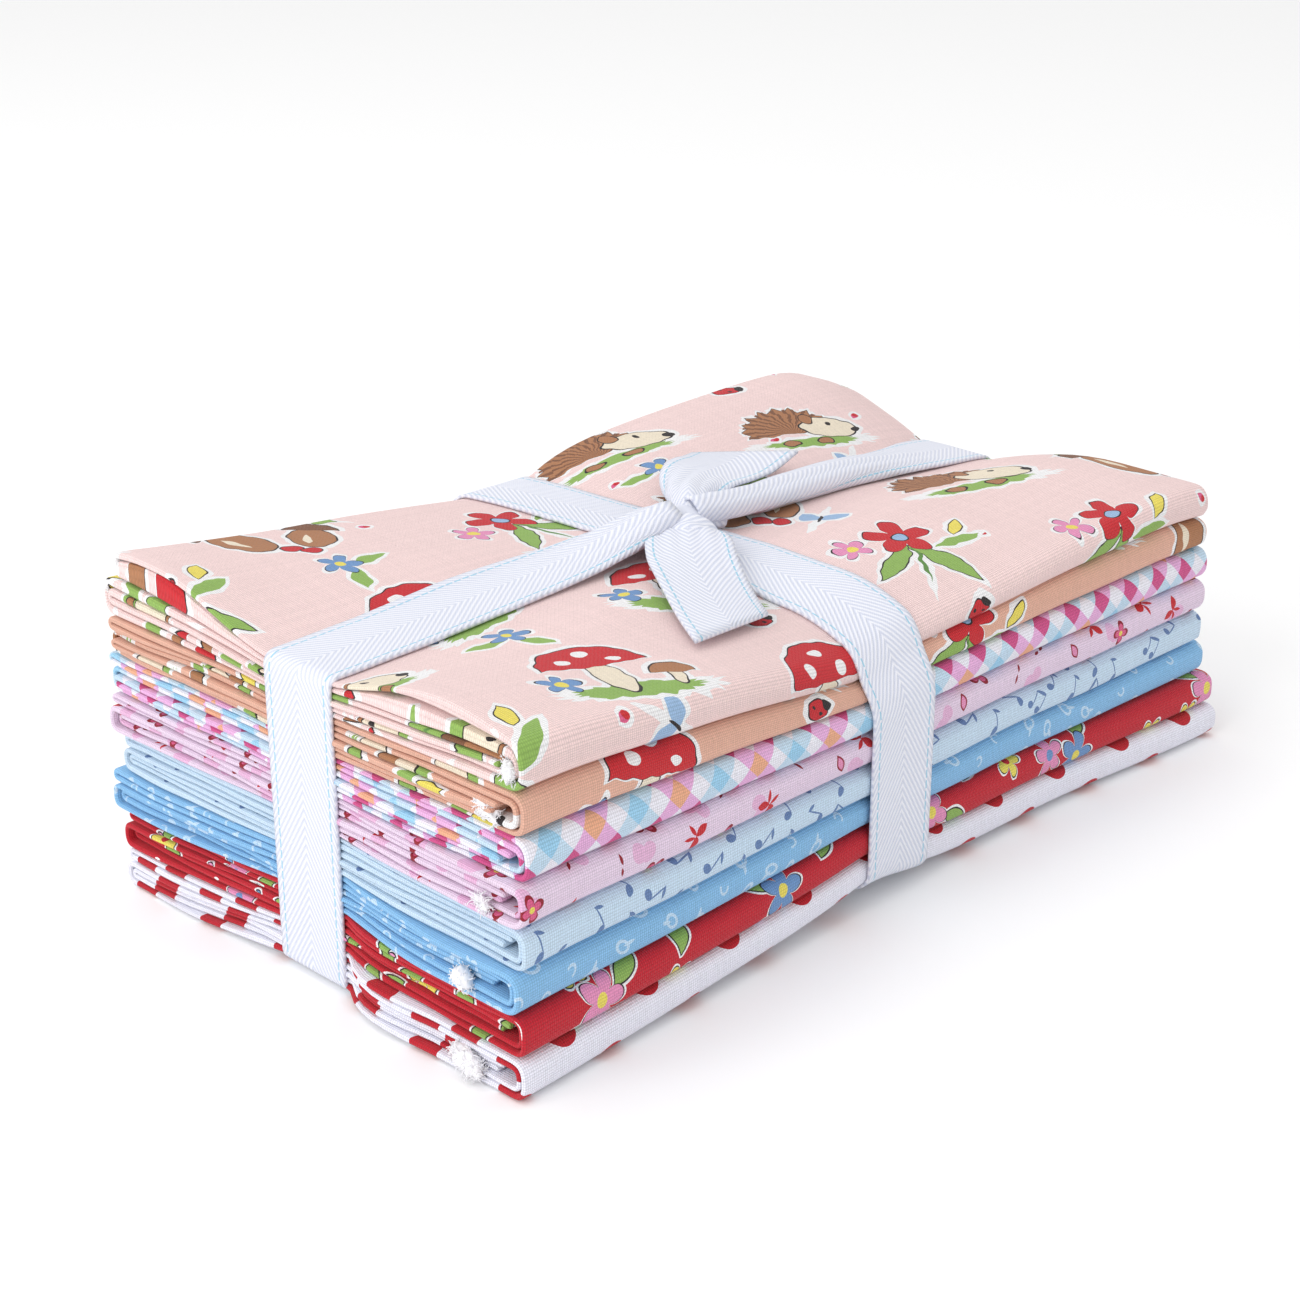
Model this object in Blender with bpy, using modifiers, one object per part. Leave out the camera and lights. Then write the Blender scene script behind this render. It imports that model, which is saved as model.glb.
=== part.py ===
# A bundle of eight folded quilting cottons, tied both ways with one length of twill tape.
# Frame: +X along the long side, -Y to the side of the smooth front folds, +Z up,
# origin at the middle of the bundle's underside. Sizes below are millimetres.
import math

import bmesh
import bpy
from mathutils import Matrix, Vector

MM = 0.001
SAME = 0.001

# One folded cloth. Each run is four plies thick, because the cloth was first folded twice from
# selvage to selvage, and the six runs are that strip folded in half and then in three.
LENGTH = 280.0
WIDTH = 157.0
RUN_THICKNESS = 1.48
RUN_GAP = 0.33
CLOTH_GAP = 0.42
RUNS = 6
CLOTH_HEIGHT = RUNS * RUN_THICKNESS + (RUNS - 1) * RUN_GAP
CLOTH_PITCH = CLOTH_HEIGHT + CLOTH_GAP
RUN_PITCH = RUN_THICKNESS + RUN_GAP
TURN_STEPS = 6
SMALL_TURN_STEPS = 4

# Twill tape
TAPE_WIDTH = 25.0
TAPE_THICKNESS = 1.0
TAPE_CLEARANCE = 0.40
CROSSING_STEP = 0.10
SIDE_CORNER = CLOTH_HEIGHT / 2 + TAPE_CLEARANCE
LOW_BACK_CORNER = (3 * RUN_PITCH + RUN_THICKNESS) / 2 + TAPE_CLEARANCE
SIDE_CORNER_STEPS = 4
END_CORNER = 1.0
END_CORNER_STEPS = 2

# Middle lines of the two tape bands at the crossing, and how far each has shifted at the edges
SHORT_BAND_X = -6.0
SHORT_BAND_LEAN = -1.5
LONG_BAND_Y = -1.0
LONG_BAND_NEAR_LEAN = 2.5
LONG_BAND_FAR_LEAN = 14.0
FLOOR_HALF = 13.0

# Stations where the pillowed corners reach their full height
NEAR_PILLOW = -66.0
FAR_PILLOW = 60.0
SIDE_PILLOW = 48.0

END_STATIONS = [
    -LENGTH / 2,
    NEAR_PILLOW,
    SHORT_BAND_X - FLOOR_HALF,
    SHORT_BAND_X + FLOOR_HALF,
    FAR_PILLOW,
    LENGTH / 2,
]
SIDE_STATIONS = [-SIDE_PILLOW, LONG_BAND_Y - FLOOR_HALF, LONG_BAND_Y + FLOOR_HALF, SIDE_PILLOW]

# Heights: the stack leans down to the far end
NEAR_RAISE = 3.2
TOP_SQUEEZE = 1.6
TOP_LOFT = [
    # how much loftier the top cloth lies than the rest: x, at the front pillow, at the back pillow
    (-LENGTH / 2, 0.8, 8.5),
    (NEAR_PILLOW, 1.2, 4.6),
    (FAR_PILLOW, 0.4, 4.8),
    (LENGTH / 2, -0.8, 2.6),
]
BAND_LIFT = TAPE_THICKNESS + TAPE_CLEARANCE + CROSSING_STEP

# How far the tape pulls the stack down from above and up from below, at each place
PULL = {
    # place: (down, up)
    "middle": (2.6, BAND_LIFT),
    "front_near": (6.5, 5.4),
    "front_far": (3.2, 2.8),
    "back": (2.7, 4.6),
    "near": (2.9, 2.2),
    "far": (7.8, 3.6),
}
SIDE_PULL = 1.2

# What is left at the far pillow of the short band's pull, at the front and at the back
FRONT_PULL_LEFT = 0.6
BACK_PULL_LEFT = 0.2

# One row for each cloth, from the bottom up. The columns after the colour say how far its near,
# far, front and back folds stand out from the even stack, how far its upper back fold draws in,
# and how far its front fold flares out at the far end.
CLOTHS = [
    # name, colour, near, far, front, back, upper_back, flare
    ("cloth_8_white_dots", (0.88, 0.87, 0.90), 2.6, 5.4, 0.6, 0.4, 0.6, 5.0),
    ("cloth_7_red_bouquets", (0.58, 0.01, 0.02), 1.2, 3.8, 0.2, 0.6, 1.2, 3.5),
    ("cloth_6_mid_blue", (0.22, 0.48, 0.80), 2.8, 1.8, -0.6, 3.2, -0.6, 1.5),
    ("cloth_5_light_blue_notes", (0.52, 0.76, 0.90), 0.8, -0.2, 0.4, 0.0, 0.8, 0.0),
    ("cloth_4_lilac_pink", (0.90, 0.62, 0.76), 1.4, -1.2, 0.9, 2.4, 0.4, 0.0),
    ("cloth_3_bias_gingham", (0.80, 0.42, 0.62), 0.0, -0.8, 0.5, 2.4, -0.8, 0.0),
    ("cloth_2_apricot", (0.87, 0.46, 0.29), -0.8, -0.6, -0.3, 1.0, 0.8, 0.0),
    ("cloth_1_blush_pink", (0.92, 0.60, 0.53), 0.2, -0.8, 0.0, 1.6, 4.4, 0.0),
]
TAPE_COLOUR = (0.86, 0.88, 0.92)
CLOTH_ROUGHNESS = 0.9

# The way the cloth runs through its six flat runs, numbered from the top, from one free edge to the
# other, and how far each run's ends stand out
RUN_ORDER = (3, 6, 1, 2, 5, 4)
RUN_STANDS_OUT = (-0.8, 0.3, 0.6, -0.5, 0.0, -1.2)

# How far the two free edges lie in from the centre line of the front wraps
FREE_EDGES_IN = (1.0, 3.0)

# Knot and tails on top of the bundle
KNOT_SIZE = (16.0, 15.0, 12.5)
KNOT_SEGMENTS = (12, 8)
KNOT_TURN = 20.0
KNOT_SINK = 0.6
KNOT_ROUNDNESS = 0.75
KNOT_PLACE = (-8.0, -1.0)
ARM_RISE = 3.4
ARM_WIDTH = 13.0
NEAR_ARM = 40.0
FAR_ARM = FAR_PILLOW - SHORT_BAND_X
ARM_ROWS = [
    # share of the arm's reach, share of its rise at the knot
    (0.05, 1.0),
    (0.45, 0.5),
    (1.0, 0.0),
]
TAILS = {
    # each row: x, y of the middle line, height over the cloth, half width, slant of the row
    "front_tail": [
        (-9.5, -2.0, 5.5, 5.0, 0.0),
        (-16.0, -8.0, 6.0, 8.5, 0.0),
        (-23.0, -17.0, 4.2, 11.5, 0.0),
        (-31.0, -28.0, 2.6, 12.5, 0.0),
        (-41.0, -42.0, 2.2, 12.5, -2.0),
        (-55.5, -63.0, 2.8, 12.5, -9.0),
    ],
    "back_tail": [
        (-7.0, 0.0, 7.0, 5.0, 0.0),
        (1.5, 5.0, 8.0, 8.5, 0.0),
        (11.0, 9.5, 7.4, 11.5, 0.0),
        (21.0, 13.5, 6.4, 12.5, 0.0),
        (31.0, 17.5, 6.0, 12.5, -3.0),
        (43.0, 22.0, 6.2, 12.5, -7.0),
    ],
}


def mix(a, b, share):
    return a + (b - a) * share


def share_between(value, start, end):
    return min(max((value - start) / (end - start), 0.0), 1.0)


def short_band_share(u, v):
    """1 under the band that goes the short way round, falling to 0 at both ends of the bundle. On
    the near side it falls evenly, and on the far side it falls fastest beside the band."""
    if u < SHORT_BAND_X:
        return share_between(u, -LENGTH / 2, SHORT_BAND_X - FLOOR_HALF)
    left = mix(FRONT_PULL_LEFT, BACK_PULL_LEFT, share_between(v, -SIDE_PILLOW, SIDE_PILLOW))
    if u < FAR_PILLOW:
        return mix(1.0, left, share_between(u, SHORT_BAND_X + FLOOR_HALF, FAR_PILLOW))
    return left * share_between(u, LENGTH / 2, FAR_PILLOW)


def long_band_share(v):
    """1 under the band that goes the long way round, falling to 0 at the pillows beside it."""
    if v < LONG_BAND_Y:
        return share_between(v, -SIDE_PILLOW, LONG_BAND_Y - FLOOR_HALF)
    return share_between(v, SIDE_PILLOW, LONG_BAND_Y + FLOOR_HALF)


def pull(u, v, column):
    """How far the tape moves the upper (column 0) or the under side (column 1) of the stack."""
    across_band = share_between(u, SHORT_BAND_X - FLOOR_HALF, SHORT_BAND_X + FLOOR_HALF)
    front = mix(PULL["front_near"][column], PULL["front_far"][column], across_band)
    side = front if v < 0 else PULL["back"][column]
    end = PULL["near" if u < 0 else "far"][column]
    end_pillow = NEAR_PILLOW if u < 0 else FAR_PILLOW
    to_side = share_between(abs(v), FLOOR_HALF + abs(LONG_BAND_Y), SIDE_PILLOW)
    to_end = share_between(abs(u), abs(end_pillow), LENGTH / 2)
    middle = PULL["middle"][column]
    across = short_band_share(u, v) * mix(middle, side, to_side)
    along = long_band_share(v) * mix(middle, end, to_end)
    return max(across, along)


def top_loft(u, v):
    """How much loftier the top cloth lies over this place, clear of the tape."""
    for here, there in zip(TOP_LOFT, TOP_LOFT[1:]):
        if u <= there[0]:
            break
    along = share_between(u, here[0], there[0])
    across = share_between(v, -SIDE_PILLOW, SIDE_PILLOW)
    return mix(mix(here[1], there[1], along), mix(here[2], there[2], along), across)


def heights(u, v):
    """Underside, top of the second cloth and top of the bundle over one place."""
    lean = -NEAR_RAISE * u / (LENGTH / 2)
    under = pull(u, v, 1)
    middle = 7 * CLOTH_PITCH + lean - pull(u, v, 0)
    band = max(short_band_share(u, v), long_band_share(v))
    top = middle + CLOTH_PITCH - CLOTH_GAP + mix(top_loft(u, v), -TOP_SQUEEZE, band)
    return under, middle, top


def long_band_lean(u):
    """How far the long band has shifted sideways at this place along the bundle."""
    lean = LONG_BAND_NEAR_LEAN if u < SHORT_BAND_X else LONG_BAND_FAR_LEAN
    end = LENGTH / 2 + (SHORT_BAND_X if u < SHORT_BAND_X else -SHORT_BAND_X)
    return lean * share_between(abs(u - SHORT_BAND_X), FLOOR_HALF, end)


def place(u, v, w, stands_out_side=0.0):
    """Moves a point of the even stack to where it lies in the tied one. Where the tape goes round,
    it also presses back a fold that stands out from the side."""
    under, middle, top = heights(u, v)
    even_middle = 7 * CLOTH_PITCH
    even_top = even_middle + CLOTH_HEIGHT
    if w < 0:
        z = under + w
    elif w < even_middle:
        z = mix(under, middle, w / even_middle)
    elif w < even_top:
        z = mix(middle, top, (w - even_middle) / CLOTH_HEIGHT)
    else:
        z = top + w - even_top
    # The tape also draws the sides in, and each band leans a little over its length
    drawn_v = (SIDE_PULL + stands_out_side) * short_band_share(u, v)
    drawn_v *= share_between(abs(v), SIDE_PILLOW, WIDTH / 2)
    end_pillow = NEAR_PILLOW if u < 0 else FAR_PILLOW
    drawn_u = SIDE_PULL * long_band_share(v) * share_between(abs(u), abs(end_pillow), LENGTH / 2)
    fade_u = 1.0 - share_between(abs(u - SHORT_BAND_X), FLOOR_HALF, LENGTH / 2 + SHORT_BAND_X)
    fade_v = 1.0 - share_between(abs(v - LONG_BAND_Y), FLOOR_HALF, SIDE_PILLOW + FLOOR_HALF)
    x = u - math.copysign(drawn_u, u) + SHORT_BAND_LEAN * v / (WIDTH / 2) * fade_u
    y = v - math.copysign(drawn_v, v) + long_band_lean(u) * fade_v
    return Vector((x, y, z))


def run_points(level, start, end, run):
    """The stations of one flat run, from its start to its end."""
    inside = [v for v in SIDE_STATIONS if min(start, end) < v < max(start, end)]
    inside.sort(reverse=end < start)
    side = 1.0 if end > start else -1.0
    return [(v, level, Vector((0.0, side)), run) for v in [start] + inside + [end]]


def turn_points(centre, from_level, to_level, bulge, run, steps):
    """The turn between two levels, going round by way of bulge: -1 to the front, 1 to the back."""
    radius = abs(from_level - to_level) / 2
    middle = (from_level + to_level) / 2
    begin = math.copysign(1.0, from_level - to_level)
    points = []
    for step in range(1, steps):
        angle = math.pi * step / steps
        along = (bulge * math.sin(angle), begin * math.cos(angle))
        normal = Vector(along) * begin * bulge
        v = centre + radius * along[0]
        points.append((v, middle + radius * along[1], normal, run + step / steps))
    return points


def fold_outline(front, back, upper_back):
    """The closed outline of one folded cloth, seen along X: rows of v, w and place along the cloth.

    The cut is halved, then folded in three: two wraps lie round the front edge, with the free
    edges inside them, and the back edge has one fold above another."""
    level = {run: CLOTH_HEIGHT - RUN_THICKNESS / 2 - (run - 1) * RUN_PITCH for run in RUN_ORDER}
    front_edge = -WIDTH / 2 - front
    back_edge = WIDTH / 2 + back
    half = RUN_THICKNESS / 2
    wrap = front_edge + half + (level[1] - level[6]) / 2
    lower_fold = back_edge - half - (level[3] - level[6]) / 2
    upper_fold = back_edge - upper_back - half - (level[1] - level[2]) / 2

    line = run_points(level[3], wrap + FREE_EDGES_IN[0], lower_fold, 0)
    line += turn_points(lower_fold, level[3], level[6], 1, 0, TURN_STEPS)
    line += run_points(level[6], lower_fold, wrap, 1)
    line += turn_points(wrap, level[6], level[1], -1, 1, TURN_STEPS)
    line += run_points(level[1], wrap, upper_fold, 2)
    line += turn_points(upper_fold, level[1], level[2], 1, 2, TURN_STEPS)
    line += run_points(level[2], upper_fold, wrap, 3)
    line += turn_points(wrap, level[2], level[5], -1, 3, TURN_STEPS)
    line += run_points(level[5], wrap, lower_fold, 4)
    line += turn_points(lower_fold, level[5], level[4], 1, 4, SMALL_TURN_STEPS)
    line += run_points(level[4], lower_fold, wrap + FREE_EDGES_IN[1], 5)

    left = [(v + n.x * half, w + n.y * half, run) for v, w, n, run in line]
    right = [(v - n.x * half, w - n.y * half, run) for v, w, n, run in line]
    return left + right[::-1]


def stands_out(run):
    """How far the cloth's ends stand out at this place along it."""
    first = min(int(run), RUNS - 2)
    return mix(RUN_STANDS_OUT[first], RUN_STANDS_OUT[first + 1], run - first)


def split_one_way(bm):
    """Splits every four-sided face along the same diagonal, seen from above, so that layers that lie
    on each other have the same facets."""
    for face in [f for f in bm.faces if len(f.verts) == 4]:
        lowest = min(face.verts, key=lambda vert: (round(vert.co.x, 3), round(vert.co.y, 3)))
        corners = list(face.verts)
        across = corners[(corners.index(lowest) + 2) % 4]
        if abs(across.co.y - lowest.co.y) < SAME or across.co.y > lowest.co.y:
            bmesh.utils.face_split(face, lowest, across)
        else:
            others = [vert for vert in corners if vert not in (lowest, across)]
            bmesh.utils.face_split(face, others[0], others[1])


def new_material(name, colour, roughness):
    material = bpy.data.materials.new(name)
    material.use_nodes = True
    shader = material.node_tree.nodes["Principled BSDF"]
    shader.inputs["Base Color"].default_value = (*colour, 1.0)
    shader.inputs["Roughness"].default_value = roughness
    shader.inputs["Metallic"].default_value = 0.0
    return material


def new_object(name, bm, collection, material=None):
    bmesh.ops.scale(bm, vec=(MM, MM, MM), verts=bm.verts)
    mesh = bpy.data.meshes.new(name)
    bm.to_mesh(mesh)
    bm.free()
    obj = bpy.data.objects.new(name, mesh)
    collection.objects.link(obj)
    if material:
        mesh.materials.append(material)
    return obj


def folded_cloth(number, row, collection):
    """One cloth: its outline is extruded along X through the stations, then tied down."""
    name, colour, near, far, front, back, upper_back, flare = row
    base = number * CLOTH_PITCH
    bm = bmesh.new()
    along_cloth = bm.verts.layers.float.new("along_cloth")
    corners = []
    for v, w, run in fold_outline(front, back, upper_back):
        vert = bm.verts.new((-LENGTH / 2, v, base + w))
        vert[along_cloth] = run
        corners.append(vert)
    near_end = bm.faces.new(corners)
    end_face = near_end

    for here, there in zip(END_STATIONS, END_STATIONS[1:]):
        before = end_face
        made = bmesh.ops.extrude_face_region(bm, geom=[before])["geom"]
        end_face = next(part for part in made if isinstance(part, bmesh.types.BMFace))
        bmesh.ops.translate(bm, vec=(there - here, 0.0, 0.0), verts=end_face.verts)
        if before is not near_end:
            bmesh.ops.delete(bm, geom=[before], context="FACES_ONLY")
    bmesh.ops.recalc_face_normals(bm, faces=bm.faces)
    bmesh.ops.triangulate(bm, faces=[f for f in bm.faces if len(f.verts) > 4])
    split_one_way(bm)

    for vert in bm.verts:
        u, v, w = vert.co
        in_upper_fold = 2 <= vert[along_cloth] <= 3
        outward = front if v < 0 else back - upper_back * in_upper_fold
        moved = place(u, v, w, max(outward, 0.0))
        loose = 1.0 - long_band_share(v)
        if v <= -SIDE_PILLOW:
            moved.y -= flare * share_between(u, FAR_PILLOW, LENGTH / 2)
        if u < -LENGTH / 2 + 1.0:
            moved.x -= near * loose + stands_out(vert[along_cloth])
        elif u > LENGTH / 2 - 1.0:
            moved.x += far * loose + stands_out(vert[along_cloth])
        vert.co = moved
    material = new_material(name, colour, CLOTH_ROUGHNESS)
    return new_object(name, bm, collection, material)


def corner_points(centre, radius, start, steps):
    """The points of a quarter turn that starts at an angle in degrees and goes clockwise."""
    angles = [math.radians(start - 90.0 * step / steps) for step in range(steps + 1)]
    return [(centre[0] + radius * math.cos(a), centre[1] + radius * math.sin(a)) for a in angles]


def tape_strip(rows):
    """A strip of tape one face wide, from rows of its two edge points, with its outer side up."""
    bm = bmesh.new()
    bmesh.ops.create_grid(bm, x_segments=len(rows) - 1, y_segments=1, size=1.0)
    bm.verts.ensure_lookup_table()
    for number, (left, right) in enumerate(rows):
        bm.verts[number].co = left
        bm.verts[number + len(rows)].co = right
    bmesh.ops.remove_doubles(bm, verts=bm.verts, dist=SAME)
    bmesh.ops.recalc_face_normals(bm, faces=bm.faces)
    highest = max(bm.faces, key=lambda face: face.calc_center_median().z)
    if highest.normal.z < 0:
        bmesh.ops.reverse_faces(bm, faces=bm.faces)
    return bm


def thicken(obj):
    solidify = obj.modifiers.new("Tape thickness", "SOLIDIFY")
    solidify.thickness = TAPE_THICKNESS * MM
    solidify.offset = 1.0
    solidify.use_even_offset = True


def short_band(collection, material):
    """The closed ring of tape that goes the short way round."""
    outside = WIDTH / 2 + TAPE_CLEARANCE
    side = outside - SIDE_CORNER
    low = SIDE_CORNER - TAPE_CLEARANCE
    low_back = (outside - LOW_BACK_CORNER, LOW_BACK_CORNER - TAPE_CLEARANCE)
    high = 7 * CLOTH_PITCH + CLOTH_HEIGHT - low
    ring = corner_points((side, high), SIDE_CORNER, 90, SIDE_CORNER_STEPS)
    ring += corner_points(low_back, LOW_BACK_CORNER, 0, SIDE_CORNER_STEPS)
    ring += [(v, -TAPE_CLEARANCE) for v in SIDE_STATIONS[::-1]]
    ring += corner_points((-side, low), SIDE_CORNER, -90, SIDE_CORNER_STEPS)
    ring += corner_points((-side, high), SIDE_CORNER, 180, SIDE_CORNER_STEPS)
    ring += [(v, high + SIDE_CORNER) for v in SIDE_STATIONS]
    ring += [ring[0]]
    half = TAPE_WIDTH / 2
    rows = [(place(SHORT_BAND_X - half, v, w), place(SHORT_BAND_X + half, v, w)) for v, w in ring]
    obj = new_object("ribbon_tie", tape_strip(rows), collection, material)
    thicken(obj)
    return obj


def long_band(collection):
    """The tape that goes the long way round, from one side of the knot to the other, where it
    narrows and lifts off the cloth."""
    clearance = TAPE_CLEARANCE + CROSSING_STEP
    end = LENGTH / 2 + max(RUN_STANDS_OUT) + clearance - END_CORNER
    low = END_CORNER - clearance
    high = 7 * CLOTH_PITCH + CLOTH_HEIGHT - low
    top = high + END_CORNER
    half = TAPE_WIDTH / 2
    far_arm = [
        (SHORT_BAND_X + FAR_ARM * reach, top + ARM_RISE * rise, mix(half, ARM_WIDTH / 2, rise))
        for reach, rise in ARM_ROWS
    ]
    near_arm = [
        (SHORT_BAND_X - NEAR_ARM * reach, top + ARM_RISE * rise, mix(half, ARM_WIDTH / 2, rise))
        for reach, rise in ARM_ROWS[::-1]
    ]
    ring = far_arm
    corners = corner_points((end, high), END_CORNER, 90, END_CORNER_STEPS)
    corners += corner_points((end, low), END_CORNER, 0, END_CORNER_STEPS)
    corners += [(FAR_PILLOW, low - END_CORNER), (NEAR_PILLOW, low - END_CORNER)]
    corners += corner_points((-end, low), END_CORNER, -90, END_CORNER_STEPS)
    corners += corner_points((-end, high), END_CORNER, 180, END_CORNER_STEPS)
    ring += [(u, w, half) for u, w in corners]
    ring += [(NEAR_PILLOW, top, half)]
    ring += near_arm
    rows = [
        (place(u, LONG_BAND_Y - width, w), place(u, LONG_BAND_Y + width, w)) for u, w, width in ring
    ]
    obj = new_object("long_band", tape_strip(rows), collection)
    thicken(obj)
    return obj


def knot(collection):
    """The pulled knot over the crossing, a rounded block that sinks a little into the tape below."""
    bm = bmesh.new()
    bmesh.ops.create_uvsphere(bm, u_segments=KNOT_SEGMENTS[0], v_segments=KNOT_SEGMENTS[1], radius=1.0)
    for vert in bm.verts:
        vert.co = [math.copysign(abs(c) ** KNOT_ROUNDNESS, c) for c in vert.co]
        vert.co.x *= KNOT_SIZE[0] / 2
        vert.co.y *= KNOT_SIZE[1] / 2
        vert.co.z *= KNOT_SIZE[2] / 2
    bmesh.ops.rotate(
        bm, verts=bm.verts, cent=(0, 0, 0), matrix=Matrix.Rotation(math.radians(KNOT_TURN), 3, "Z")
    )
    top = heights(*KNOT_PLACE)[2]
    rest = top + TAPE_CLEARANCE + TAPE_THICKNESS - KNOT_SINK + KNOT_SIZE[2] / 2
    bmesh.ops.translate(bm, verts=bm.verts, vec=(*KNOT_PLACE, rest))
    return new_object("knot", bm, collection)


def tail(name, table, collection):
    """One free end of the tape, lying out from the knot over the cloth."""
    rows = []
    for number, (x, y, over, half, slant) in enumerate(table):
        before = table[max(number - 1, 0)]
        after = table[min(number + 1, len(table) - 1)]
        along = Vector((after[0] - before[0], after[1] - before[1])).normalized()
        side = Vector((-along.y, along.x))
        edges = []
        for sign in (-1, 1):
            point = Vector((x, y)) + side * sign * half + along * sign * slant
            edges.append((point.x, point.y, heights(point.x, point.y)[2] + over))
        rows.append(edges)
    obj = new_object(name, tape_strip(rows), collection)
    thicken(obj)
    return obj


def tie(parts, cutters):
    """The whole tape as one solid: the short band, joined by the long band, the knot and the tails."""
    material = new_material("twill_tape", TAPE_COLOUR, CLOTH_ROUGHNESS)
    joined = short_band(parts, material)
    pieces = [long_band(cutters), knot(cutters)]
    pieces += [tail(name, table, cutters) for name, table in TAILS.items()]
    for piece in pieces:
        piece.hide_render = True
        piece.display_type = "WIRE"
        union = joined.modifiers.new("Join " + piece.name, "BOOLEAN")
        union.operation = "UNION"
        union.solver = "EXACT"
        union.object = piece


def centre_on_origin(parts, cutters):
    """Puts the origin under the middle of the whole bundle."""
    bpy.context.view_layer.update()
    points = [vert.co for obj in parts.objects for vert in obj.data.vertices]
    middle = [(min(p[axis] for p in points) + max(p[axis] for p in points)) / 2 for axis in (0, 1)]
    for obj in list(parts.objects) + list(cutters.objects):
        obj.location = (-middle[0], -middle[1], 0.0)


def main():
    for obj in list(bpy.data.objects):
        bpy.data.objects.remove(obj, do_unlink=True)
    parts = bpy.data.collections.new("fabric_bundle")
    cutters = bpy.data.collections.new("joined_pieces")
    bpy.context.scene.collection.children.link(parts)
    bpy.context.scene.collection.children.link(cutters)
    for number, row in enumerate(CLOTHS):
        folded_cloth(number, row, parts)
    tie(parts, cutters)
    centre_on_origin(parts, cutters)


main()
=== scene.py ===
import math
import random

import bmesh
import bpy
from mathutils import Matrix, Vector, noise


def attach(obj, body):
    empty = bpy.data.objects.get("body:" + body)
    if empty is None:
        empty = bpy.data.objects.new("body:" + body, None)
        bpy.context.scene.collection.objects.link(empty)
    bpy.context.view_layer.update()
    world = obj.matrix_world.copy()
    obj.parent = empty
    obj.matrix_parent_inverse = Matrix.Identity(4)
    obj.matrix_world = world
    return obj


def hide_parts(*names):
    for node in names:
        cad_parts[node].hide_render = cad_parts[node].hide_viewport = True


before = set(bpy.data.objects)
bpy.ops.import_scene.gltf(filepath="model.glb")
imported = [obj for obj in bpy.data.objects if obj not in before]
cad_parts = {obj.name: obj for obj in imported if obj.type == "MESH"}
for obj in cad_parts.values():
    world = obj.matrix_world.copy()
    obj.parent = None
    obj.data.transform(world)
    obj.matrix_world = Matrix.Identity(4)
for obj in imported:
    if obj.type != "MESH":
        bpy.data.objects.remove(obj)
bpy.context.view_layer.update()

mm = 0.001

# The stack as it is folded, in millimetres from the middle of the even stack. The CAD model's own
# origin lies a little off that middle, by originShift.
stack = {
    "length": 280.0, "width": 157.0, "plies": 1.48, "runGap": 0.33, "clothGap": 0.42, "runs": 6,
    "cloths": 8, "originShift": (-1.3, 0.9),
}
stack["height"] = stack["runs"] * stack["plies"] + (stack["runs"] - 1) * stack["runGap"]
stack["pitch"] = stack["height"] + stack["clothGap"]
stack["runPitch"] = stack["plies"] + stack["runGap"]
stack["middle"] = (stack["cloths"] - 1) * stack["pitch"]
stack["top"] = stack["middle"] + stack["height"]
halfLength = stack["length"] / 2
halfWidth = stack["width"] / 2

# How the tape has pulled the stack in; (a, b) is front and back, except where a line says otherwise
tied = {
    # where the bands lie and how they lean, how wide the dip is under them and where the pillows begin
    "shortX": -6.0, "shortLean": (-1.5, -4.0), "longY": -1.0, "nearLean": 2.5, "farLean": 14.0,
    "floor": 13.0, "nearPillow": -66.0, "farPillow": 60.0, "sidePillow": 48.0,
    # how far from the bands the cloths rise again, and how steeply
    "nearFall": 1.15, "farRise": 110.0, "farFall": 5.0, "frontRise": 150.0,
    "farSides": (50.0, 68.0), "farSideFall": 1.6, "endFall": 1.4,
    "nearRaise": 3.2, "topSqueeze": 1.6, "sidePull": 1.2,
    # how far the tape presses down the top and lifts the underside, under the knot and at the edges
    "middle": (2.6, 1.5), "frontNear": (6.5, 5.4), "frontFar": (3.2, 2.8), "back": (2.7, 4.6),
    "near": (2.9, 2.2), "far": (7.8, 3.6),
    # where one edge's pull becomes the next one's, and how much less it is where the bands cross
    "blend": 14.0, "frontBlend": (-20.0, 8.0), "crossing": 0.3,
    # the top cloth's extra loft: x, at the front pillow, at the back pillow
    "loft": [(-140, 0.8, 5.4), (-66, 1.2, 3.6), (40, 0.5, 3.6), (100, 0.3, 6.0), (140, 0.8, 5.2)],
    # how far the tape rounds over the stack's top edge: reach inwards, drop, draw in, from what height
    "roundReach": 34.0, "roundDrop": (8.0, 1.2), "roundDraw": (6.0, 1.0), "roundFrom": 58.0,
    # the same at the far end of the upper cloths, where nothing holds them down
    "farReach": 26.0, "farDrop": (2.0, 5.0), "farDraw": 2.2,
    # how far the tape lifts the lowest front edge along x, how far in and how high, how that fades upwards
    "edgeLift": [(-48, 0.0), (-30, 0.9), (-12, 2.8), (3, 2.4), (16, 0.9), (30, 0.0)],
    "liftReach": (42.0, 34.0, 1.4),
    # slow unevenness: size in the plane, size upwards, height of its full strength, most
    "ripple": (42.0, 60.0, 30.0, 0.7),
}

tape = {"width": 25.0, "thick": 0.9, "clear": 0.45, "crossing": 0.10}


def mix(a, b, share):
    return a + (b - a) * share


def between(value, start, end):
    return min(max((value - start) / (end - start), 0.0), 1.0)


def ease(share):
    return share * share * (3.0 - 2.0 * share)


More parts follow.
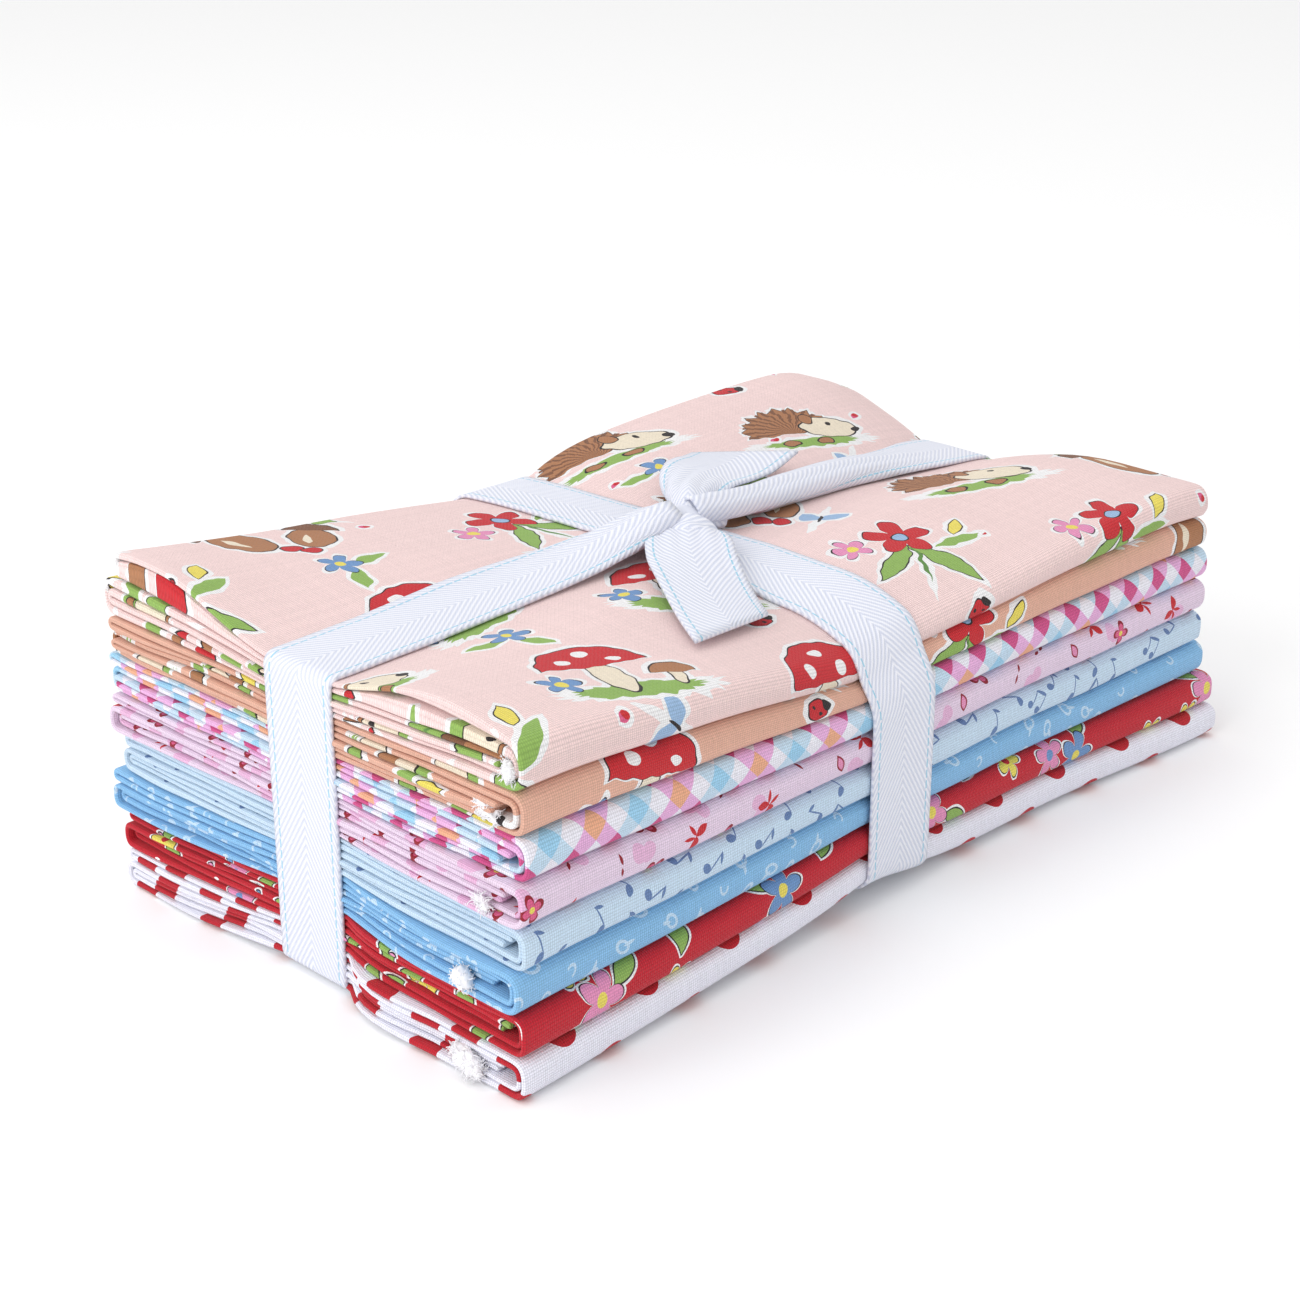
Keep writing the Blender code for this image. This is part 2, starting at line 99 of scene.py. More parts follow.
def alongTable(rows, x):
    # a smooth curve through the rows of a table, which start with x; the other columns come back
    last = len(rows) - 1
    index = 0
    while index < last - 1 and x > rows[index + 1][0]:
        index += 1
    a, b = rows[index], rows[index + 1]
    before, after = rows[max(index - 1, 0)], rows[min(index + 2, last)]
    share = between(x, a[0], b[0])
    step = b[0] - a[0]
    result = []
    for column in range(1, len(a)):
        slopeA = (b[column] - before[column]) / (b[0] - before[0]) * step
        slopeB = (after[column] - a[column]) / (after[0] - a[0]) * step
        s2, s3 = share * share, share ** 3
        value = (2 * s3 - 3 * s2 + 1) * a[column] + (s3 - 2 * s2 + share) * slopeA
        value += (3 * s2 - 2 * s3) * b[column] + (s3 - s2) * slopeB
        result.append(value)
    return result


def shortShare(u, v=halfWidth):
    # 1 under the band that goes the short way round, and 0 at the near end and towards the far one
    if u < tied["shortX"]:
        return between(u, -halfLength, tied["shortX"] - tied["floor"]) ** tied["nearFall"]
    back = between(u, tied["farRise"], tied["shortX"] + tied["floor"]) ** tied["farFall"]
    front = between(u, tied["frontRise"], tied["shortX"] + tied["floor"])
    return mix(front, back, ease(between(v, -halfWidth, 0.0)))


def longShare(v, u=halfLength):
    # 1 under the band that goes the long way round; the near end falls to it more evenly
    side = math.copysign(1.0, v - tied["longY"])
    inner = tied["longY"] + side * tied["floor"]
    steep = between(v, side * tied["farSides"][1 if side > 0 else 0], inner) ** tied["farSideFall"]
    even = between(v, side * halfWidth, inner) ** tied["endFall"]
    return mix(even, steep, ease(between(u, -halfLength, 0.0)))


def softMax(a, b, blend=1.2):
    # the larger of two pulls, without a crease where they are alike
    gap = max(blend - abs(a - b), 0.0) / blend
    return max(a, b) + gap * gap * blend / 4


def pull(u, v, column):
    toBack = ease(between(v, -tied["blend"], tied["blend"]))
    toFar = ease(between(u, -tied["blend"], tied["blend"]))
    pillow = mix(-tied["nearPillow"], tied["farPillow"], toFar)
    toSide = between(abs(v), tied["floor"] + abs(tied["longY"]), tied["sidePillow"])
    toEnd = ease(between(abs(u), pillow, halfLength))
    middle = tied["middle"][column]
    front = mix(tied["frontNear"][column], tied["frontFar"][column], ease(between(u, *tied["frontBlend"])))
    sidePull = mix(front, tied["back"][column], toBack)
    endPull = mix(tied["near"][column], tied["far"][column], toFar)
    across = shortShare(u, v) * mix(middle, sidePull, ease(toSide))
    along = longShare(v, u) * mix(middle, endPull, toEnd)
    return softMax(across, along) - tied["crossing"] * min(shortShare(u, v), longShare(v, u))


def heights(u, v):
    # underside, top of the second cloth and top of the bundle over one place
    lean = -tied["nearRaise"] * u / halfLength
    under = pull(u, v, 1)
    middle = stack["middle"] + lean - pull(u, v, 0)
    front, back = alongTable(tied["loft"], u)
    loft = mix(front, back, ease(between(v, -tied["sidePillow"], tied["sidePillow"])))
    band = max(shortShare(u, v), longShare(v, u))
    top = middle + stack["height"] + mix(loft, -tied["topSqueeze"], band)
    return under, middle, top


def longLean(u):
    lean = tied["nearLean"] if u < tied["shortX"] else tied["farLean"]
    end = halfLength + (tied["shortX"] if u < tied["shortX"] else -tied["shortX"])
    return lean * between(abs(u - tied["shortX"]), tied["floor"], end)


def place(u, v, w, standsOut=0.0):
    # moves a point of the even stack to where it lies in the tied one
    under, middle, top = heights(u, v)
    evenMiddle, evenTop = stack["middle"], stack["top"]
    if w < 0:
        z = under + w
    elif w < evenMiddle:
        z = mix(under, middle, w / evenMiddle)
    elif w < evenTop:
        z = mix(middle, top, (w - evenMiddle) / stack["height"])
    else:
        z = top + w - evenTop
    band = shortShare(u, v)
    nearSide = between(abs(v), tied["sidePillow"], halfWidth)
    drawnV = (tied["sidePull"] + standsOut) * band * nearSide
    pillow = tied["nearPillow"] if u < 0 else tied["farPillow"]
    drawnU = tied["sidePull"] * longShare(v) * between(abs(u), abs(pillow), halfLength)
    # the top edge is rounded over under the short band
    atBack = 1 if v > 0 else 0
    toEdge = between(abs(v), halfWidth - tied["roundReach"], halfWidth)
    overEdge = ease(between(w, tied["roundFrom"], evenTop)) * band ** 2 * toEdge
    z -= tied["roundDrop"][atBack] * overEdge * toEdge
    drawnV += tied["roundDraw"][atBack] * overEdge
    if v < 0:
        inward, upward, fade = tied["liftReach"]
        nearEdge = between(-v, halfWidth - inward, halfWidth) ** 2 * between(w, upward, 0.0) ** fade
        z += alongTable(tied["edgeLift"], u)[0] * nearEdge
    toFarEnd = between(u, halfLength - tied["farReach"], halfLength) ** 2
    farDrop = mix(*tied["farDrop"], ease(between(v, 0.0, tied["sidePillow"])))
    z -= farDrop * toFarEnd * ease(between(w, tied["roundFrom"], evenTop))
    drawnU += tied["farDraw"] * toFarEnd * between(w, evenMiddle - stack["pitch"], evenTop) ** 2
    # slow unevenness, the same for neighbouring layers so that they don't meet
    size, upwards, full, most = tied["ripple"]
    z += most * noise.noise(Vector((u / size, v / size, w / upwards))) * between(w, 0.0, full)
    fadeU = 1.0 - between(abs(u - tied["shortX"]), tied["floor"], halfLength + tied["shortX"])
    fadeV = 1.0 - between(abs(v - tied["longY"]), tied["floor"], tied["sidePillow"] + tied["floor"])
    x = u - math.copysign(drawnU, u) + tied["shortLean"][atBack] * v / halfWidth * fadeU
    y = v - math.copysign(drawnV, v) + longLean(u) * fadeV
    return Vector((x, y, z))


def newStrips():
    # a mesh whose points know their place on the flat cloth, in metres
    bm = bmesh.new()
    for name in ("along", "across"):
        bm.verts.layers.float.new(name)
    return bm


def mapFlat(bm, name):
    # the flat cloth's own coordinates become its UV map
    bmesh.ops.recalc_face_normals(bm, faces=bm.faces)
    along, across = bm.verts.layers.float["along"], bm.verts.layers.float["across"]
    uv = bm.loops.layers.uv.new(name)
    for face in bm.faces:
        for corner in face.loops:
            corner[uv].uv = (corner.vert[along], corner.vert[across])


def addObject(name, data):
    obj = bpy.data.objects.new(name, data)
    bpy.context.scene.collection.objects.link(obj)
    return obj


def newPiece(name, bm):
    # millimetres of the even stack become metres of the CAD frame
    bmesh.ops.translate(bm, verts=bm.verts, vec=(*stack["originShift"], 0.0))
    bmesh.ops.scale(bm, verts=bm.verts, vec=(mm, mm, mm))
    mesh = bpy.data.meshes.new(name)
    bm.to_mesh(mesh)
    bm.free()
    mesh.shade_smooth()
    return addObject(name, mesh)


# Camera at the photograph's angle
camera = {"lens": 67.07, "sensor": 36.0, "place": (-467.7, -429.8, 316.0), "down": 22.83, "turn": 46.22}


def addCamera():
    data = bpy.data.cameras.new("camera")
    data.lens = camera["lens"]
    data.sensor_width = camera["sensor"]
    obj = addObject("camera", data)
    where = Vector(camera["place"]) + Vector((*stack["originShift"], 0.0))
    obj.location = where * mm
    obj.rotation_euler = (math.radians(90.0 - camera["down"]), 0.0, -math.radians(camera["turn"]))
    bpy.context.scene.camera = obj


# One cut of cotton as its strip of four plies
strip = {
    # how finely it is meshed, how square its large folds are and how its edges close
    "alongStep": 4.5, "acrossStep": 5.0, "wrapSteps": 14, "outerSteps": 18, "smallSteps": 6, "endSteps": 3,
    "square": 2.8, "roundBelow": 2.0, "edgeTaper": (0.35, 1.1), "taperHeight": 0.75,
    # how far each run's end stands out, and where the flare begins
    "endStandsOut": (-0.8, 0.3, 0.6, -0.5, 0.0, -1.2), "flareFrom": (30.0, 66.0),
    # how much and how slowly the ends wander, and how far apart in the noise two runs and two cloths are
    "endWander": (1.2, 30.0, 1.7, 5.3),
    # how the top run stands off the others at the near end: v where it starts, is highest and ends, lift
    "mouths": [(-86.0, -50.0, -9.0, 5.6), (10.0, 52.0, 96.0, 4.4)],
    # how far in that reaches and how it fades
    "mouthReach": (50.0, 1.5),
    # how unevenly the plies bunch within a cloth: most, size along and through it, depth of its faces,
    # and how far apart in the noise two cloths are
    "bunch": (0.9, 40.0, 4.6, 2.2, 3.7),
    # how far the ends of the two lowest cloths bulge, and how near points are welded
    "endBulge": (3.6, 1.6), "weld": 0.0005,
}


def foldLine(front, back, upperBack, edgesIn):
    # The middle line of the folded strip, seen along X: (v, w, place along it in runs).
    # The cut is halved, then folded in three: two wraps round the front edge, two folds at the back.
    thick, pitch = stack["plies"], stack["runPitch"]
    level = {run: stack["height"] - thick / 2 - (run - 1) * pitch for run in range(1, stack["runs"] + 1)}
    half = thick / 2
    wrap = -halfWidth - front + half + (level[1] - level[6]) / 2
    lowerFold = halfWidth + back - half - (level[3] - level[6]) / 2
    upperFold = halfWidth + back - upperBack - half - (level[1] - level[2]) / 2

    def run(number, start, end, w):
        steps = round(abs(end - start) / strip["alongStep"])
        return [(mix(start, end, i / steps), w, number + i / steps) for i in range(steps + 1)]

    def turn(number, centre, fromLevel, toLevel, bulge, steps):
        radius = abs(fromLevel - toLevel) / 2
        middle = (fromLevel + toLevel) / 2
        begin = math.copysign(1.0, fromLevel - toLevel)
        power = 2.0 / strip["square"] if radius > strip["roundBelow"] else 1.0
        points = []
        for i in range(1, steps):
            angle = math.pi * i / steps
            s, c = math.sin(angle), math.cos(angle)
            out = bulge * radius * s ** power
            up = begin * radius * math.copysign(abs(c) ** power, c)
            points.append((centre + out, middle + up, number + 1.0))
        return points

    wrapSteps, smallSteps = strip["wrapSteps"], strip["smallSteps"]
    line = run(0, wrap + edgesIn[0], lowerFold, level[3])
    line += turn(0, lowerFold, level[3], level[6], 1, wrapSteps)
    line += run(1, lowerFold, wrap, level[6])
    line += turn(1, wrap, level[6], level[1], -1, strip["outerSteps"])
    line += run(2, wrap, upperFold, level[1])
    line += turn(2, upperFold, level[1], level[2], 1, smallSteps)
    line += run(3, upperFold, wrap, level[2])
    line += turn(3, wrap, level[2], level[5], -1, wrapSteps)
    line += run(4, wrap, lowerFold, level[5])
    line += turn(4, lowerFold, level[5], level[4], 1, smallSteps)
    line += run(5, lowerFold, wrap + edgesIn[1], level[4])
    return line


def withTapers(line):
    # two short steps at each free edge, where the plies close
    first, second = strip["edgeTaper"]

    def stepFrom(a, b, distance):
        share = distance / math.dist(a[:2], b[:2])
        return tuple(mix(a[i], b[i], share) for i in range(3))

    start = [line[0], stepFrom(line[0], line[1], first), stepFrom(line[0], line[1], second)]
    end = [stepFrom(line[-1], line[-2], second), stepFrom(line[-1], line[-2], first), line[-1]]
    return start + line[1:-1] + end


def crossSection():
    # one closed loop round the strip: (place across it, height from its middle, flat place)
    half = stack["plies"] / 2
    steps = round(stack["length"] / strip["acrossStep"])
    stations = [mix(halfLength, -halfLength, i / steps) for i in range(steps + 1)]
    loop = [(t, half, t) for t in stations]
    quarter = strip["endSteps"]
    for side, turnsBack in ((-1, False), (1, True)):
        if turnsBack:
            loop += [(t, -half, t) for t in reversed(stations)]
        for i in range(1, 2 * quarter):
            angle = math.pi / 2 * (1 - i / quarter)
            height = half * math.sin(angle) * (-1 if turnsBack else 1)
            arc = half * (math.pi / 2 - abs(angle))
            loop.append((side * (halfLength + half * math.cos(angle)), height, side * (halfLength + arc)))
    return loop + loop[:1]


# The cloths from the lowest up: how far each stands out at its near and far end, its front and back,
# how much less its upper back fold does, its flare at the far front, how far in its free edges end
cloths = [
    ("cloth_8_white_dots", 2.6, 5.4, 0.6, 0.4, 0.6, 5.0, (3.5, 5.5)),
    ("cloth_7_red_bouquets", 1.2, 3.8, 0.2, 0.6, 1.2, 3.5, (1.0, 4.0)),
    ("cloth_6_mid_blue", 2.8, 1.8, -0.6, 3.2, -0.6, 1.5, (3.0, 5.0)),
    ("cloth_5_light_blue_notes", 0.8, -0.2, 0.4, 0.0, 0.8, 0.0, (0.5, 3.0)),
    ("cloth_4_lilac_pink", 1.4, -1.2, 0.9, 2.4, 0.4, 0.0, (2.5, 4.0)),
    ("cloth_3_bias_gingham", 0.0, -0.8, 0.5, 2.4, -0.8, 0.0, (0.0, 3.0)),
    ("cloth_2_apricot", -0.8, -0.6, -0.3, 1.0, 0.8, 0.0, (2.5, 4.0)),
    ("cloth_1_blush_pink", 0.2, -0.8, 0.0, 1.6, 4.4, 0.0, (1.0, 2.5)),
]


def endStands(run):
    table = strip["endStandsOut"]
    first = min(int(run), len(table) - 2)
    return mix(table[first], table[first + 1], min(run - first, 1.0))


def mouthLift(u, v, w):
    topRun = stack["height"] - stack["plies"]
    aboveRest = between(w, topRun - stack["plies"] / 2 - stack["runGap"], topRun)
    reach, fade = strip["mouthReach"]
    toEnd = between(u, reach - halfLength, -halfLength)
    lift = 0.0
    for start, crest, stop, most in strip["mouths"]:
        lift += most * ease(between(v, start, crest)) * ease(between(v, stop, crest))
    return lift * toEnd ** fade * aboveRest


def bunched(v, own, number):
    # plies lie closer in some places and further apart in others, between the cloth's two faces
    most, along, through, face, apart = strip["bunch"]
    inside = ease(between(own, 0.0, face)) * ease(between(own, stack["height"], stack["height"] - face))
    return own + most * inside * noise.noise(Vector((v / along, own / through, number * apart)))


def foldedStrip(number, row):
    # a flat four-ply strip whose two faces are one grid, rolled shut at its ends and then folded
    name, near, far, front, back, upperBack, flare, edgesIn = row
    line = withTapers(foldLine(front, back, upperBack, edgesIn))
    loop = crossSection()
    base = number * stack["pitch"]
    bm = newStrips()
    alongLayer, acrossLayer = bm.verts.layers.float["along"], bm.verts.layers.float["across"]
    bmesh.ops.create_grid(bm, x_segments=len(line) - 1, y_segments=len(loop) - 1, size=1.0)
    bm.verts.ensure_lookup_table()
    # the place along the cut is counted from its outermost point at the front
    along = -sum(math.dist(a[:2], b[:2]) for a, b in zip(line, line[1:line.index(min(line)) + 1]))
    closing = {0: 0.0, 1: strip["taperHeight"], len(line) - 2: strip["taperHeight"], len(line) - 1: 0.0}
    wander, wanderSize, byRun, byCloth = strip["endWander"]
    for i, (v, w, run) in enumerate(line):
        before, after = line[max(i - 1, 0)], line[min(i + 1, len(line) - 1)]
        along += math.dist((v, w), before[:2])
        tangent = Vector((after[0] - before[0], after[1] - before[1])).normalized()
        normal = Vector((-tangent.y, tangent.x))
        stands = endStands(run)
        isUpperFold = 2 <= run <= 4
        for j, (t, height, flat) in enumerate(loop):
            vert = bm.verts[i + j * len(line)]
            height *= closing.get(i, 1.0)
            nominalV = v + normal.x * height
            nominalW = base + bunched(v, w + normal.y * height, number)
            outward = front if nominalV < 0 else back - upperBack * isUpperFold
            spot = place(t, nominalV, nominalW, max(outward, 0.0))
            loose = 1.0 - longShare(nominalV)
            toEnd = between(abs(t), -tied["nearPillow"] if t < 0 else tied["farPillow"], halfLength)
            uneven = noise.noise(Vector((nominalV / wanderSize, run * byRun, number * byCloth)))
            reach = (near if t < 0 else far) * loose + stands + wander * uneven * loose
            if t < 0 and nominalV < 0 and number < len(strip["endBulge"]):
                reach += strip["endBulge"][number] * 4 * loose * (1 - loose)
            spot.x += math.copysign(reach * toEnd, t)
            if number == stack["cloths"] - 1:
                spot.z += mouthLift(t, nominalV, nominalW - base)
            toFar = ease(between(t, tied["farPillow"], halfLength))
            spot.y -= flare * ease(between(-nominalV, *strip["flareFrom"])) * toFar
            vert.co = spot
            vert[alongLayer] = along * mm
            vert[acrossLayer] = flat * mm
    bmesh.ops.remove_doubles(bm, verts=bm.verts, dist=strip["weld"])
    mapFlat(bm, "flat cloth")
    return newPiece(name.replace("cloth_", "folded_cloth_"), bm)


# Fluffy ends of the selvage at the near end, each a lumpy wad with loose threads round it
fluff = {
    # how far out the wads sit, how lumpy they are, how much they lean and how low they hang
    "out": 1.8, "lump": 0.4, "lumpSize": 2.3, "lean": 0.35, "lowest": 0.3,
    # the threads: half thickness, pieces, how deep they start, how they spread, sag, bend and waver
    "thread": 0.1, "steps": 6, "sunk": 0.3, "spread": 0.5, "sag": -0.25, "curl": 0.8, "waver": 0.16,
    "shortest": 0.4, "tip": 0.3,
}
# cloth: place along v, height in the cloth, half sizes of the wad, number of threads, their length
tufts = {
    7: (-74.5, 4.8, (1.5, 1.5, 2.5), 150, 2.4),
    6: (-66.2, 3.8, (1.8, 3.8, 2.0), 280, 2.0),
    4: (-66.0, 3.4, (1.3, 2.2, 1.3), 100, 2.6),
    2: (-60.0, 4.4, (2.4, 2.4, 2.4), 170, 1.9),
    0: (-60.5, 4.6, (2.4, 4.9, 3.2), 420, 2.2),
}


def tuft(number, near):
    def anyWay(most):
        return Vector(luck.gauss(0, most) for axis in range(3))

    v, own, size, count, length = tufts[number]
    luck = random.Random(number)
    root = place(-halfLength, v, number * stack["pitch"] + own)
    root.x -= near + fluff["out"]
    bm = newStrips()
    wad = bmesh.ops.create_icosphere(bm, subdivisions=3, radius=1.0)["verts"]
    outward = [(vert.co.copy(), vert) for vert in wad]
    for way, vert in outward:
        swell = 1.0 + fluff["lump"] * noise.noise(way * fluff["lumpSize"] + Vector((number, 0.0, 0.0)))
        vert.co = root + Vector(a * b for a, b in zip(way, size)) * swell
        vert.co.z = max(vert.co.z + fluff["lean"] * (vert.co.y - root.y), fluff["lowest"])
    starts = [(way, vert.co.copy()) for way, vert in outward]
    for i in range(count):
        way, spot = luck.choice(starts)
        spot = spot - way * fluff["sunk"]
        way = (way + anyWay(fluff["spread"]) + Vector((0.0, 0.0, fluff["sag"]))).normalized()
        bend = anyWay(1) * fluff["curl"]
        step = length / fluff["steps"] * luck.uniform(fluff["shortest"], 1.0)
        rows = []
        for j in range(fluff["steps"] + 1):
            thin = fluff["thread"] * (1.0 if j < fluff["steps"] else fluff["tip"])
            side = way.orthogonal().normalized() * thin
            other = way.cross(side)
            rows.append([spot + side, spot + other, spot - side, spot - other, spot + side])
            spot = spot + way * step
            spot.z = max(spot.z, fluff["lowest"])
            way = (way + bend / 2 + anyWay(fluff["waver"])).normalized()
        addStrip(bm, rows)
    return newPiece(f"selvage_threads_{stack['cloths'] - number}", bm)


# The twill tape: two bands, the knot over their crossing and two free tails. The gather is how
# tightly the tape is drawn into an arch (1 / radius); all in millimetres of the even stack.
tie = {
    "across": 20, "rowStep": 2.6, "strandSteps": 4, "flat": (0.025, 1.45),
    "corner": 5.5, "backCorner": 3.6, "endCorner": 2.6, "endClear": 0.6, "overlap": 0.5,
    # the arch's height, its pleats' width and height, and how soon a gather shows in them and in a tail
    "archHeight": 3.2, "pleat": (5.4, 0.42), "pleatFrom": 8, "liftFrom": 4, "sunk": 1.4,
    # x, height over the cloth, gather, sideways shift
    "nearArm": [
        (-112, 0.0, 0.0, 1.6), (-84, 0.0, 0.0, 4.6), (-62, 0.2, 0.03, 6.0), (-44, 1.2, 0.07, 6.2),
        (-32, 2.6, 0.105, 5.6), (-24, 3.8, 0.14, 4.4), (-17, 4.6, 0.19, 2.8), (-11, 4.6, 0.25, 1.4),
    ],
    "farArm": [
        (-4, 4.6, 0.31, 0.6), (4, 4.4, 0.29, 0.3), (13, 2.6, 0.25, 0.0), (28, 1.1, 0.21, 0.0),
        (48, 0.5, 0.18, 0.0), (66, 0.3, 0.155, 0.0), (84, 0.2, 0.12, 0.0), (106, 0.1, 0.08, 0.0),
        (126, 0.0, 0.0, 0.0),
    ],
    # x, y, height over the cloth, gather, how far the row slants
    "strands": {
        "frontTail": [
            (-3.0, 3.0, 3.0, 0.30, 0), (-6.5, -1.0, 5.6, 0.22, 0), (-10.5, -5.5, 6.8, 0.12, 0),
            (-15.5, -11.0, 6.2, 0.06, 0), (-22.5, -18.5, 4.9, 0.03, 0), (-29.0, -27.5, 3.6, 0.012, 0),
            (-36.5, -39.5, 2.4, 0.005, -3.6), (-46.2, -54.6, 1.7, 0.0, -11.0),
        ],
        "backTail": [
            (-7.5, -3.0, 4.0, 0.30, 0), (-4.5, -0.5, 9.0, 0.28, 0), (-0.5, 3.2, 11.6, 0.25, 0),
            (3.5, 6.5, 12.0, 0.2, 0), (7.5, 9.8, 11.4, 0.15, 0), (18.0, 16.0, 9.0, 0.06, 0),
            (27.5, 19.3, 7.2, 0.02, -2.0), (36.0, 22.0, 5.8, 0.008, -5.5),
            (43.5, 24.6, 5.0, 0.004, -9.0), (50.0, 27.0, 4.4, 0.0, -12.0),
        ],
        "overStrap": [
            (-15.5, 3.5, 2.6, 0.26, 0), (-13.0, -0.2, 6.8, 0.22, 0), (-9.2, -4.2, 9.0, 0.2, 0),
            (-5.2, -8.0, 7.2, 0.22, 0), (-2.6, -10.6, 3.0, 0.26, 0),
        ],
        "nearWrap": [
            (-21.0, 2.2, 6.8, 0.16, 0), (-16.0, 3.2, 8.2, 0.24, 0), (-11.5, 4.0, 8.8, 0.3, 0),
            (-7.0, 4.5, 7.0, 0.34, 0),
        ],
        "farWrap": [
            (9.0, 1.6, 7.2, 0.26, 0), (4.0, 1.4, 8.2, 0.28, 0), (-1.5, 0.4, 8.0, 0.32, 0),
            (-6.0, -2.0, 6.0, 0.34, 0),
        ],
    },
    "core": {"place": (-5.0, 0.5), "size": (12.0, 10.0, 9.0), "over": 5.0},
}


def arcPoints(centre, radius, start, steps=5):
    # a quarter turn, clockwise, from an angle in degrees
    angles = [math.radians(start - 90.0 * i / steps) for i in range(steps + 1)]
    return [(centre[0] + radius * math.cos(a), centre[1] + radius * math.sin(a)) for a in angles]


def filled(points, step):
    # more points on the long straight stretches
    result = [points[0]]
    for a, b in zip(points, points[1:]):
        count = max(1, round(math.dist(a[:2], b[:2]) / step))
        result += [tuple(mix(x, y, i / count) for x, y in zip(a, b)) for i in range(1, count + 1)]
    return result


def addStrip(bm, rows):
    # rows of points across the tape become one grid, with the flat tape's own coordinates
    along, across = bm.verts.layers.float["along"], bm.verts.layers.float["across"]
    count = len(rows)
    made = bmesh.ops.create_grid(bm, x_segments=count - 1, y_segments=len(rows[0]) - 1, size=1.0)["verts"]
    length = 0.0
    middle = len(rows[0]) // 2
    for i, row in enumerate(rows):
        if i:
            length += (row[middle] - rows[i - 1][middle]).length
        for j, point in enumerate(row):
            vert = made[i + j * count]
            vert.co = point
            vert[along] = length * mm
            vert[across] = tape["width"] * (j / (len(row) - 1) - 0.5) * mm


def acrossTape(gather):
    # (sideways, upwards) of each point across the tape, flat or gathered into an arch
    places = []
    for j in range(tie["across"] + 1):
        q = tape["width"] * (j / tie["across"] - 0.5)
        if gather < 0.001:
            places.append((q, 0.0))
            continue
        up = (math.cos(gather * q) - 1) / gather * min(gather * tie["archHeight"], 1.0)
        pitch, most = tie["pleat"]
        up += most * min(gather * tie["pleatFrom"], 1.0) * math.cos(q * 2 * math.pi / pitch)
        places.append((math.sin(gather * q) / gather, up))
    return places


def shortBandRows():
    clear = tape["clear"]
    outside = halfWidth + clear
    top = stack["top"] + clear
    corner, backCorner = tie["corner"], tie["backCorner"]
    ring = [(tied["longY"], top)]
    ring += arcPoints((outside - corner, top - corner), corner, 90)
    ring += arcPoints((outside - backCorner, backCorner - clear), backCorner, 0)
    ring += arcPoints((corner - outside, corner - clear), corner, -90)
    ring += arcPoints((corner - outside, top - corner), corner, 180)
    ring += [(tied["longY"] - tie["overlap"], top)]
    flat = [tied["shortX"] + q for q, up in acrossTape(0.0)]
    return [[place(u, v, w) for u in flat] for v, w in filled(ring, tie["rowStep"])]


def longBandRows():
    clear = tape["clear"] + tape["crossing"]
    end = halfLength + tie["endClear"] + clear
    top = stack["top"] + clear
    corner = tie["endCorner"]
    ring = [(u, top + rise, gather, shift) for u, rise, gather, shift in tie["farArm"]]
    for centre, start in (
        ((end - corner, top - corner), 90), ((end - corner, corner - clear), 0),
        ((corner - end, corner - clear), -90), ((corner - end, top - corner), 180),
    ):
        ring += [(u, w, 0.0, 0.0) for u, w in arcPoints(centre, corner, start)]
    ring += [(u, top + rise, gather, shift) for u, rise, gather, shift in tie["nearArm"]]
    rows = []
    for u, w, gather, shift in filled(ring, tie["rowStep"]):
        section = acrossTape(gather)
        lowest = min(up for q, up in section)
        rows.append([place(u, tied["longY"] + shift - q, w + up - lowest) for q, up in section])
    return rows


def strandRows(table):
    numbered = [(i, *row) for i, row in enumerate(table)]
    steps = (len(table) - 1) * tie["strandSteps"]
    line = [alongTable(numbered, i / tie["strandSteps"]) for i in range(steps + 1)]
    above = tape["clear"] + tape["thick"]
    rows = []
    for i, (x, y, over, gather, slant) in enumerate(line):
        before, after = line[max(i - 1, 0)], line[min(i + 1, steps)]
        along = Vector((after[0] - before[0], after[1] - before[1], 0.0)).normalized()
        side = Vector((-along.y, along.x, 0.0))
        ground = heights(x, y)[2] + above
        row = []
        for q, up in acrossTape(max(gather, 0.0)):
            spot = Vector((x, y, 0.0)) + side * q + along * slant * q * 2 / tape["width"]
            local = heights(spot.x, spot.y)[2] + above
            spot.z = mix(ground, local, 1.0 - min(gather * tie["liftFrom"], 1.0)) + over - tie["sunk"] + up
            row.append(spot)
        rows.append(row)
    return rows


def twillTie():
    bm = newStrips()
    addStrip(bm, shortBandRows())
    addStrip(bm, longBandRows())
    for table in tie["strands"].values():
        addStrip(bm, strandRows(table))
    mapFlat(bm, "flat tape")
    core = bmesh.ops.create_uvsphere(bm, u_segments=20, v_segments=12, radius=0.5)["verts"]
    bmesh.ops.scale(bm, verts=core, vec=tie["core"]["size"])
    x, y = tie["core"]["place"]
    bmesh.ops.translate(bm, verts=core, vec=(x, y, heights(x, y)[2] + tie["core"]["over"]))
    obj = newPiece("twill_tie", bm)
    solid = obj.modifiers.new("tape thickness", "SOLIDIFY")
    solid.thickness = tape["thick"] * mm
    solid.offset = 1.0
    return obj


# Small helpers for materials: a value is a number, a colour or another node's output
def feed(socket, value):
    if isinstance(value, bpy.types.NodeSocket):
        socket.id_data.links.new(value, socket)
    else:
        socket.default_value = value


def newNode(kind, *values):
    # the node is made in the tree that the values' own nodes are in
    tree = next(value.id_data for value in values if isinstance(value, bpy.types.NodeSocket))
    return tree.nodes.new("ShaderNode" + kind)


def calc(operation, *values):
    node = newNode("Math", *values)
    node.operation = operation
    for socket, value in zip(node.inputs, values):
        feed(socket, value)
    return node.outputs[0]


def maths(operation):
    return lambda *values: calc(operation, *values)


